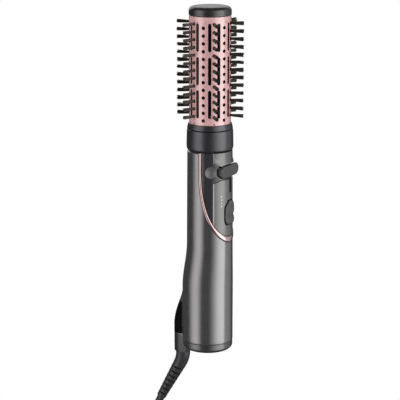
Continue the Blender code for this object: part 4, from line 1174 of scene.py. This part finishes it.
def rim_points(grow, depth, steps=24):
    """Points of the rocker's window outline laid on the casing, grown outwards."""
    points = []
    for x, _, z in pill(WINDOW_HALF_LENGTH + grow, WINDOW_HALF_HEIGHT + grow, 0.0, ROCKER_Z, steps):
        radius = body_radius(z) - depth
        points.append(Vector((x, body_centre(z) - math.sqrt(radius ** 2 - x ** 2), z)))
    return points


def window_rim():
    """Thin lip round the rocker's window, in the lighter finish: a painted highlight along the window's
    edge.
    """
    points = rim_points(0.15, INLAY_DEPTHS[1] - 0.2)
    settle(rod("window_rim", points, 0.28, 3, painted_highlight_edge, closed=True), "handle", "gunmetal")


# ---------------------------------------------------------------- controls

def rocker():
    """Bar with rounded edges and a slightly hollow face, on its hub."""
    edge = 1.1
    levels = [(ROCKER_FACE_Y + 0.12, -4.2), (ROCKER_FACE_Y + 0.05, -2.6)]
    for step in range(7):
        angle = math.radians(15.0 * step)
        levels.append((ROCKER_FACE_Y + edge * (1 - math.cos(angle)), edge * (math.sin(angle) - 1)))
    levels += [(ROCKER_BACK_Y - 0.3, 0.0), (ROCKER_BACK_Y, -0.3)]
    sections = []
    for y, grow in levels:
        sections.append(pill(ROCKER_HALF_LENGTH + grow, ROCKER_HALF_HEIGHT + grow, y, ROCKER_Z, 20))
    bar = lofted("rocker_bar", sections, control_grey)
    corners = [(-3.0, ROCKER_BACK_Y - 0.5), (3.0, ROCKER_BACK_Y - 0.5)]
    corners += [(3.0, ROCKER_AXIS_Y + 1.9), (-3.0, ROCKER_AXIS_Y + 1.9)]
    sections = [[(x, y, ROCKER_Z + drop) for x, y in corners] for drop in (-4.3, 4.3)]
    hub = lofted("hub", sections, control_grey)
    combine(bar, hub, "UNION")
    bore = [(0.0, ROCKER_Z - 9), (1.2, ROCKER_Z - 9), (1.2, ROCKER_Z + 9), (0.0, ROCKER_Z + 9)]
    cut(bar, turned("bore", bore, control_grey, (0.0, ROCKER_AXIS_Y), 24))
    settle(bar, "rocker_body", "control_grey", "rocker")


def knob_height(share):
    """How far the knob stands out along its length: two lobes with a saddle between them."""
    saddle = math.exp(-((share - 0.36) / 0.1) ** 2)
    ends = max(abs(2.0 * share - 1.0) - 0.75, 0.0) / 0.25
    return 1.75 - 0.85 * saddle - 0.7 * ends ** 2


def knob_half(share):
    """Half angle the knob spans along its length: a round lower end and a sloping upper corner."""
    lower = max(1.0 - 2.0 * share, 0.0) ** 6 * 0.45
    return KNOB_HALF_ANGLE * (1.0 - lower - 0.62 * smooth((share - 0.7) / 0.34))


def knob():
    """Two-lobed knob of the slide switch, on its stem."""
    rows, columns = 48, 28
    outer = []
    inner = []
    for row in range(rows + 1):
        share = row / rows
        z = KNOB_BOTTOM + (KNOB_TOP - KNOB_BOTTOM) * share
        for column in range(columns + 1):
            across = 2.0 * column / columns - 1.0
            azimuth = across * knob_half(share)
            crown = 1.0 - 0.55 * abs(across) ** 8
            outer.append(skin(azimuth, z, -KNOB_CLEARANCE - (knob_height(share) - KNOB_CLEARANCE) * crown))
            inner.append(skin(azimuth, z, -KNOB_CLEARANCE))
    piece = slab("slide_knob_grip", [outer, inner], columns + 1, rows + 1, control_grey)
    corners = [(-2.0, -21.2), (2.0, -21.2), (2.0, -15.6), (-2.0, -15.6)]
    stem = lofted("stem", [[(x, y, z) for x, y in corners] for z in STEM_SPAN], control_grey)
    combine(piece, stem, "UNION")
    rounded(piece, 0.2)
    settle(piece, "knob_body", "control_grey", "slide_knob")


def painted_shadow_patch(name, spans):
    """A thin black skin on the panel over rows of (z, half angle), laid on as painted shadow."""
    rows = [[(half * (column / 16 - 1.0), z) for column in range(33)] for z, half in spans]
    settle(plate(name, rows, (0.3, -0.04), painted_shadow_black, 0.02), "handle", "soft_black")


def switch_well_shadow():
    """Painted shadow of the gap round the slide knob, and a flat dark strip of the same black between it and
    the rocker.
    """
    length = KNOB_TOP - KNOB_BOTTOM
    around_knob = []
    for step in range(33):
        share = step / 32
        around_knob.append((KNOB_BOTTOM - 0.9 + (length + 1.8) * share, knob_half(share) + 2.8))
    painted_shadow_patch("switch_well_shadow", around_knob)
    first, last = KNOB_TOP + 7.2, ROCKER_Z - WINDOW_HALF_HEIGHT - 0.4
    painted_shadow_patch("upper_dark_strip", [(first + (last - first) * step / 8, 4.8) for step in range(9)])


def arm_plate(name, azimuth, heights, radii):
    """A short curved plate round the handle's axis, 18 degrees wide."""
    columns = [azimuth - 9.0 + 18.0 * step / 12 for step in range(13)]
    outline = [(a, radii[1]) for a in columns] + [(a, radii[0]) for a in reversed(columns)]
    return lofted(name, [[around(a, radius, z) for a, radius in outline] for z in heights], gunmetal)


def release_buttons():
    """Round, dished buttons at the sides, each with the arm and hook that hold the head."""
    dish = [(17.5, 0.3), (17.6, 1.4), (18.0, 2.7), (18.7, 3.8), (19.25, 4.5), (19.55, 4.95), (19.45, 5.25)]
    for side, word in ((-1, "left"), (1, "right")):
        azimuth = side * BUTTON_AZIMUTH
        profile = [(15.0, 5.9), (16.3, 5.9), (16.3, 5.4), (19.1, 5.4)] + dish[::-1]
        button = radial_piece("button_" + word, azimuth, profile, ROCKER_Z, button_metal, 64)
        combine(button, arm_plate("arm", azimuth, (112.0, 140.6), (15.4, 16.9)), "UNION")
        combine(button, arm_plate("hook", azimuth, (137.4, 140.6), (15.4, 17.3)), "UNION")
        settle(button, "release_body_" + word, "gunmetal", "release_button_" + word)


def switch_marks():
    """Four small printed marks beside the slide switch, one for each of its positions."""
    for mark in range(4):
        z = MARK_Z + MARK_PITCH * mark
        half_wide, half_tall = MARK_SIZES[mark % 2]
        sections = []
        for depth in (-0.03, 0.02):
            section = []
            for step in range(16):
                turn = 2.0 * math.pi * step / 16
                azimuth = MARK_AZIMUTH + half_wide * math.cos(turn)
                section.append(skin(azimuth, z + half_tall * math.sin(turn), depth))
            sections.append(section)
        settle(lofted("switch_mark_" + str(mark + 1), sections, mark_white), "handle", "control_grey")


# ---------------------------------------------------------------- inlet

def grille():
    """Band round the air inlet, with a slotted floor and woven gauze behind it."""
    centre = (0.0, LOWER_CENTRE)
    top = SHELL_BOTTOM - GAP / 2
    outer = [(0.0, GRILLE_BOTTOM), (19.4, GRILLE_BOTTOM)]
    outer += arc((19.4, -48.8), (3.2, -48.8 - GRILLE_BOTTOM), -90.0, 0.0, 14)[1:]
    rim = [(22.6, top - 0.1), (22.5, top), (20.0, top), (20.0, -41.6), (18.8, -41.6)]
    inner = [(18.8, -48.6), (17.6, -50.0), (0.0, -50.0)]
    band = turned("grille_band", outer + rim + inner, grille_grey, centre, 96)
    for side in (-1, 1):
        for row in range(3):
            x = side * (5.0 + 4.2 * row)
            reach = math.sqrt(16.5 ** 2 - x ** 2) - 1.1
            for first, last in ((-reach, -2.2), (2.2, reach)):
                cut(band, slot_prism(x, LOWER_CENTRE + first, LOWER_CENTRE + last, 1.1, (-54.0, -48.0)))
    cut(band, foot_notch(grille_grey))
    settle(band, "grille_body", "control_grey", "inlet_grille")
    gauze(centre)


def slot_prism(x, first_y, last_y, half, heights):
    """An upright cutter: a slot along Y with round ends."""
    outline = []
    for y, start in ((last_y, 0.0), (first_y, 180.0)):
        for step in range(9):
            angle = math.radians(start + 180.0 * step / 8)
            outline.append((x + half * math.cos(angle), y + half * math.sin(angle)))
    return lofted("slot", [[(px, py, z) for px, py in outline] for z in heights], grille_grey)


def foot_notch(maker):
    """Cutter that clears the casing's foot."""
    return lofted("notch", [stadium(z, -0.4, FOOT_FRONT - 0.4) for z in (-54.0, -40.0)], maker)


def gauze(centre):
    """Woven wire filter: two sets of thin wires that pass over and under each other."""
    pitch, thickness, reach = 1.3, 0.14, 17.6
    corners = ((1, 1), (-1, 1), (-1, -1), (1, -1))
    vertices = []
    faces = []
    count = int(reach / pitch)
    for along in (0, 1):
        for wire in range(-count, count + 1):
            offset = wire * pitch
            half = math.sqrt(reach ** 2 - offset ** 2)
            steps = max(2, int(2 * half / (pitch / 2)))
            sections = []
            for step in range(steps + 1):
                place = -half + 2 * half * step / steps
                z = GAUZE_Z + 0.12 * math.cos(math.pi * (place / pitch + wire + along))
                section = []
                for side, lift in corners:
                    across = offset + side * thickness
                    x, y = (across, place) if along else (place, across)
                    section.append((centre[0] + x, centre[1] + y, z + lift * thickness))
                sections.append(section)
            add_prism(vertices, faces, sections)
    mesh = add_piece("gauze_wires", vertices, faces, steel)
    cut(mesh, foot_notch(steel))
    settle(mesh, "grille_body", "steel", "filter_gauze")


# ---------------------------------------------------------------- brush head

def head_ring():
    """Ring that locks on the handle, with softly rounded edges."""
    skirt = [(17.6, RING_BOTTOM), (18.6, RING_BOTTOM)]
    skirt += [(19.6, 132.7), (20.3, 133.4), (20.7, 134.6), (20.8, 137.0)]
    shoulder = [(20.45, RING_TOP - 0.9), (20.3, RING_TOP - 0.25), (20.0, RING_TOP)]
    spigot = [(15.3, RING_TOP), (15.3, 160.0), (13.9, 160.0), (13.9, 144.0)]
    groove = [(17.6, 142.6), (17.6, 141.2), (18.8, 141.2), (18.8, 136.8), (17.6, 136.8)]
    ring = turned("ring_shell", skirt + shoulder + spigot + groove, ring_satin, segments=128)
    settle(ring, "head_body", "ring_satin", "head_ring")


def collar():
    """Tapered collar under the barrel, with a fine parting groove."""
    flare = [(16.8, COLLAR_BOTTOM), (19.8, COLLAR_BOTTOM), (20.15, COLLAR_BOTTOM + 0.15)]
    flare += [(20.2, COLLAR_BOTTOM + 0.5), (19.35, COLLAR_TOP - 0.8), (19.2, COLLAR_TOP - 0.45)]
    flare += [(18.9, COLLAR_TOP - 0.3), (18.8, COLLAR_TOP)]
    sleeve = [(17.6, COLLAR_TOP), (17.6, 159.9), (16.8, 159.9)]
    piece = turned("collar_shell", flare + sleeve, ring_satin, segments=128)
    settle(piece, "barrel_body", "ring_satin", "barrel_collar")


def cap():
    """Cool tip: a flat top with a soft edge, a plain side and its spigot inside the barrel."""
    crown = [(0.0, CAP_TOP), (12.5, CAP_TOP - 0.1), (14.8, CAP_TOP - 0.25), (16.0, CAP_TOP - 0.5)]
    crown += [(16.9, CAP_TOP - 0.9), (17.6, CAP_TOP - 1.4), (18.1, CAP_TOP - 2.0), (18.45, CAP_TOP - 2.7)]
    crown += [(CAP_RADIUS - 0.05, CAP_TOP - 3.3), (CAP_RADIUS, CAP_TOP - 3.8)]
    side = [(CAP_RADIUS, BARREL_TOP + GAP + 0.3), (CAP_RADIUS - 0.3, BARREL_TOP + GAP)]
    spigot = [(15.3, BARREL_TOP + GAP), (15.3, 243.0), (13.3, 243.0), (13.3, 252.0), (0.0, 252.0)]
    piece = turned("tip_shell", crown + side + spigot, tip_plastic, segments=128)
    settle(piece, "barrel_body", "soft_black", "tip_cap")


def opening_outline(half, straight, steps=12):
    """Outline of a round hole, or of a slot with round ends, as (across, up)."""
    outline = []
    for sign, start in ((1, 0.0), (-1, 180.0)):
        for step in range(steps):
            angle = math.radians(start + 180.0 * (step + 0.5) / steps)
            outline.append((half * math.cos(angle), sign * straight + half * math.sin(angle)))
    return outline


def barrel_openings():
    """(azimuth, z, half width, half length of the straight part) of every opening."""
    found = []
    for row in range(ROWS):
        azimuth = ROW_AZIMUTH + ROW_STEP * row
        for hole in range(HOLES_PER_ROW):
            found.append((azimuth, TUFT_TOP_Z - HOLE_PITCH * hole, HOLE_RADIUS, 0.0))
            found.append((azimuth + ROW_STEP / 2, AIR_TOP_Z - HOLE_PITCH * hole, HOLE_RADIUS, 0.0))
        found.append((azimuth, PIN_HOLE_Z, PIN_HOLE_RADIUS, 0.0))
        for offset in (-SLOT_OFFSET, SLOT_OFFSET):
            for bottom, top in SLOT_SPANS:
                half_length = (top - bottom) / 2 - SLOT_HALF
                found.append((azimuth + offset, (bottom + top) / 2, SLOT_HALF, half_length))
    return found


def barrel():
    """Thin tube with round holes for the tufts, air holes and slots."""
    inner = BARREL_RADIUS - BARREL_WALL
    rim = 0.12
    edge = BARREL_RADIUS - rim
    profile = [(inner, BARREL_BOTTOM), (edge, BARREL_BOTTOM), (BARREL_RADIUS, BARREL_BOTTOM + rim)]
    profile += [(BARREL_RADIUS, BARREL_TOP - rim), (edge, BARREL_TOP), (inner, BARREL_TOP)]
    tube = turned("barrel_tube", profile, rose_barrel, segments=120)
    vertices = []
    faces = []
    for azimuth, z, half, straight in barrel_openings():
        out, side = direction(azimuth), direction(azimuth + 90.0)
        sections = []
        for reach in (BARREL_RADIUS - 2.5, BARREL_RADIUS + 2.0):
            sections.append([out * reach + side * across + Vector((0.0, 0.0, z + up))
                             for across, up in opening_outline(half, straight)])
        add_prism(vertices, faces, sections)
    # The cutter's dark finish passes to the cut walls of the openings: painted shade.
    cut(tube, add_piece("openings", vertices, faces, painted_shade_rose_edge))
    round_normals(tube)
    settle(tube, "barrel_body", "rose_barrel", "barrel")


def round_normals(tube):
    """Gives the tube's inner and outer walls the normals of a true cylinder."""
    mesh = tube.data
    normals = []
    for face in mesh.polygons:
        flat = face.normal
        for index in face.vertices:
            point = mesh.vertices[index].co
            outward = Vector((point.x, point.y, 0.0)).normalized()
            if abs(flat.dot(outward)) > 0.95:
                normals.append(outward * math.copysign(1.0, flat.dot(outward)))
            else:
                normals.append(flat.copy())
    mesh.normals_split_custom_set(normals)


def filament(vertices, faces, root, middle, tip, thickness):
    """One bristle: a thin three-sided rod that bends outwards and narrows to its tip."""
    along = (tip - root).normalized()
    side = along.orthogonal().normalized()
    other = along.cross(side)
    turns = [2.0 * math.pi * step / 3 for step in range(3)]
    places = ((root, thickness), (middle, thickness), (tip, thickness * 0.75))
    spokes = [side * math.cos(turn) + other * math.sin(turn) for turn in turns]
    add_prism(vertices, faces, [[place + spoke * size for spoke in spokes] for place, size in places])


def bristles():
    """Six strips behind the wall, each with tufts of filaments that fan out towards their tips."""
    dice = random.Random(7)
    for row in range(ROWS):
        azimuth = ROW_AZIMUTH + ROW_STEP * row
        out, side = direction(azimuth), direction(azimuth + 90.0)
        up = Vector((0.0, 0.0, 1.0))
        vertices = []
        faces = []
        lowest = TUFT_TOP_Z - HOLE_PITCH * (HOLES_PER_ROW - 1) - 2.0
        add_prism(vertices, faces, [[out * reach + side * across + up * z for reach, across in STRIP_OUTLINE]
                                    for z in (lowest, TUFT_TOP_Z + 2.6)])
        for tuft in range(HOLES_PER_ROW):
            z = TUFT_TOP_Z - HOLE_PITCH * tuft
            lean = side * dice.uniform(-0.3, 0.3) + up * dice.uniform(-0.35, 0.35)
            flare = dice.uniform(1.6, 2.0)
            for _ in range(FILAMENTS):
                turn = dice.uniform(0.0, 2.0 * math.pi)
                reach = math.sqrt(dice.random())
                spread = side * math.cos(turn) * reach + up * math.sin(turn) * reach
                root = out * ROOT_RADIUS + up * z + spread * 0.9
                length = TIP_RADIUS - ROOT_RADIUS + dice.uniform(-0.7, 0.2)
                wander = side * dice.uniform(-0.12, 0.12) + up * dice.uniform(-0.15, 0.15)
                middle = root + out * length * 0.5 + spread * (0.6 * (flare - 0.9)) + lean * 0.4
                tip = root + out * length + spread * (flare - 0.9) + lean + wander
                filament(vertices, faces, root, middle, tip, FILAMENT_RADIUS)
        maker = bristle_black if row in BLACK_ROWS else bristle_brown
        piece = add_piece("bristles_" + str(row + 1), vertices, faces, maker)
        settle(piece, "barrel_body", "bristle_black", "bristle_strip_" + str(row + 1))


# ---------------------------------------------------------------- cord

def boot():
    """Strain relief: a smooth neck, then ribs cut deeper on the side it bends to, down to the cord."""
    path = [Vector((0.0, EXIT_Y, BOOT_TOP)), Vector((0.0, EXIT_Y, BOOT_TOP - BOOT_DROP))]
    bend_steps = 24
    for step in range(1, bend_steps + 1):
        angle = math.radians(BOOT_ANGLE * step / bend_steps)
        drop = BOOT_DROP + BOOT_BEND * math.sin(angle)
        path.append(Vector((0.0, EXIT_Y + BOOT_BEND * (1 - math.cos(angle)), BOOT_TOP - drop)))
    corner = path[-1]
    slope = math.radians(BOOT_ANGLE)
    down = Vector((0.0, math.sin(slope), -math.cos(slope)))
    run_steps = 168
    for step in range(1, run_steps + 1):
        path.append(corner + down * (BOOT_STRAIGHT * step / run_steps))
    total = sum((b - a).length for a, b in zip(path, path[1:]))
    sides = 40
    sections = []
    reach = 0.0
    for index, point in enumerate(path):
        before, after = path[max(index - 1, 0)], path[min(index + 1, len(path) - 1)]
        if index:
            reach += (point - path[index - 1]).length
        along = (after - before).normalized()
        across = Vector((0.0, -along.z, along.y))
        radius = BOOT_TOP_RADIUS + (BOOT_END_RADIUS - BOOT_TOP_RADIUS) * reach / total
        groove = groove_depth(reach, total)
        section = []
        for step in range(sides):
            turn = 2.0 * math.pi * step / sides
            front = 0.5 - 0.5 * math.sin(turn)
            size = radius - groove * (0.1 + 0.9 * smooth(front * 1.6))
            beside = Vector((size * math.cos(turn), 0.0, 0.0))
            section.append(point + beside + across * (size * math.sin(turn)))
        sections.append(section)
    settle(lofted("boot", sections, cord_rubber), "cord_body", "cord_black", "strain_relief")


def groove_depth(reach, total):
    """Depth of the boot's grooves along its length, with rounded lands between them."""
    place = (reach - GROOVE_START) / GROOVE_PITCH % 1.0
    if reach < GROOVE_START or reach > total - 1.0 or place > GROOVE_SHARE:
        return 0.0
    return GROOVE_DEPTH * smooth(min(place, GROOVE_SHARE - place) / (GROOVE_SHARE * 0.2))


def ease_run(points, start, end, steps):
    """Adds points that ease from one to another, leaving and arriving straight down."""
    for step in range(1, steps + 1):
        share = step / steps
        side = smooth(share)
        points.append((start[0] + (end[0] - start[0]) * side, start[1] + (end[1] - start[1]) * side,
                       start[2] + (end[2] - start[2]) * share))


def hank_run(points, sign, downward, bends, columns, steps=30):
    """One long side of the folded cord, pulled in at the tie; bends and columns ease from start to end."""
    for step in range(1, steps + 1):
        share = step / steps
        along = share if downward else 1.0 - share
        bend = bends[0] + (bends[1] - bends[0]) * smooth(share)
        swing = (INNER_BEND - HANK_WAIST) / 2
        x = bend - swing + swing * math.cos(2.0 * math.pi * along)
        y = HANK_Y + columns[0] + (columns[1] - columns[0]) * smooth(share)
        points.append((sign * x, y, HANK_TOP - HANK_RUN * along))


def hank_arc(points, bend, column, at_top, steps=18):
    """One round end: over the top from left to right, or under the bottom from right to left."""
    for step in range(1, steps + 1):
        angle = math.pi * step / steps
        if at_top:
            points.append((-bend * math.cos(angle), HANK_Y + column, HANK_TOP + bend * math.sin(angle)))
        else:
            drop = HANK_RUN + bend * math.sin(angle)
            points.append((bend * math.cos(angle), HANK_Y + column, HANK_TOP - drop))


def cord_points():
    """Centre line of the whole free cord: the lead-in, four turns of the folded hank and the tail."""
    points = [tuple(point) for point in CORD_ROUTE]
    ease_run(points, points[-1], (INNER_BEND, HANK_Y + COLUMN_STEP, HANK_TOP), 14)
    turns = (
        (INNER_BEND, INNER_BEND, COLUMN_STEP, 0.0),
        (INNER_BEND, INNER_BEND, 0.0, -COLUMN_STEP),
        (INNER_BEND, OUTER_BEND, -COLUMN_STEP, -COLUMN_STEP),
        (OUTER_BEND, OUTER_BEND, -COLUMN_STEP, 0.0),
    )
    for bend, next_bend, column, next_column in turns:
        hank_run(points, 1, True, (bend, bend), (column, column))
        hank_arc(points, bend, column, False)
        hank_run(points, -1, False, (bend, next_bend), (column, next_column))
        hank_arc(points, next_bend, next_column, True)
    hank_run(points, 1, True, (OUTER_BEND, OUTER_BEND), (0.0, TAIL_Y - HANK_Y))
    ease_run(points, points[-1], (TAIL_X, TAIL_Y, TAIL_TOP), 6)
    points.append((TAIL_X, TAIL_Y, TAIL_END))
    return points


def cord():
    """The free mains lead, folded into a tied hank below the handle, with its plug."""
    points = cord_points()
    lead = rod("mains_cord", points, CORD_RADIUS, 6, cord_rubber)
    settle(lead, "cord_body", "cord_black", "cord", "cord_hank", "cord_tail")
    pieces = [tie(), plug()] + plug_pins()


def tie():
    """Fabric strap round the hank's waist, with its free end lapped over."""
    middle = HANK_TOP - HANK_RUN / 2
    count = 96
    sections = []
    for step in range(count + 9):
        turn = 2.0 * math.pi * step / count
        lap = 1.3 if step > count - 6 else 1.3 * smooth((step - count + 16) / 10)
        x, y = squarish(turn, 0.3)
        sections.append([((TIE_HALF_X + grow + lap) * x, HANK_Y + (TIE_HALF_Y + grow + lap) * y,
                          middle + half) for grow, half in TIE_OUTLINE])
    return settle(lofted("cord_strap", sections, tie_fabric), "cord_body", "soft_black", "cord_tie")


def plug():
    """Flat two-pin plug body with a ribbed neck and finger grips."""
    top, bottom = high("plug_body").z, low("plug_body").z
    levels = []
    for step in range(41):
        share = step / 40
        drop = (top - bottom) * share
        neck = smooth((drop - 8.0) / 7.0)
        half_x = 4.7 + (13.0 - 4.7) * neck
        half_y = 4.7 + (6.8 - 4.7) * neck
        if 1.0 < drop < 8.5 and int(drop / 1.3) % 2:
            half_x -= 0.5
            half_y -= 0.5
        end = max(drop - (top - bottom - 1.6), 0.0) / 1.6
        half_x -= 1.2 * end ** 2
        half_y -= 1.0 * end ** 2
        grip = math.exp(-((drop - 24.0) / 5.0) ** 2)
        levels.append((top - drop, half_x - 0.9 * grip, half_y - 0.4 * grip))
    sections = []
    for z, half_x, half_y in levels:
        outline = [squarish(2.0 * math.pi * (step + 0.5) / 48, 0.65) for step in range(48)]
        sections.append([(TAIL_X + x * half_x, TAIL_Y + y * half_y, z) for x, y in outline])
    return settle(lofted("plug_shell", sections, cord_rubber), "cord_body", "cord_black", "plug_body")


def plug_pins():
    """Round pins with rounded tips."""
    pins = []
    for word in ("left", "right"):
        node = "plug_pin_" + word
        bottom, top = low(node), high(node)
        radius = (top.x - bottom.x) / 2
        centre = ((top.x + bottom.x) / 2, (top.y + bottom.y) / 2)
        profile = [(0.0, top.z), (radius, top.z)]
        profile += arc((radius - 1.2, bottom.z + 1.2), (1.2, 1.2), 0.0, -90.0, 8)
        profile.append((0.0, bottom.z))
        pin = turned("pin_" + word, profile, pin_metal, centre, 32)
        pins.append(settle(pin, "cord_body", "brass", node))
    return pins


# ---------------------------------------------------------------- what stays as the CAD made it

def dress_inner_nodes():
    """Procedural finishes for the CAD pieces inside, which keep their own meshes."""
    makers = {"inner_plastic": inner_plastic, "steel": steel, "brass": brass, "mica": mica,
              "board_green": board_green, "cord_black": cord_rubber, "gunmetal": gunmetal}
    for row in frame["record"]["subparts"]:
        obj = frame["nodes"][row["node"]]
        if obj.hide_render:
            continue
        # The barrel's core takes the near-black painted-shade finish instead of its slot's grey.
        maker = painted_shade_core if row["node"] == "barrel_core" else makers[row["material_slot"]]
        obj.data.materials.clear()
        obj.data.materials.append(finish(maker))
        shade(obj.data)


def build():
    make_camera()
    cord()
    boot()
    make_studio()
    casing()
    foot()
    heel_pad()
    front_inlay()
    trim()
    control_panel()
    upper_panel()
    window_rim()
    switch_marks()
    rocker()
    switch_well_shadow()
    knob()
    release_buttons()
    grille()
    head_ring()
    collar()
    barrel()
    cap()
    bristles()
    dress_inner_nodes()


build()
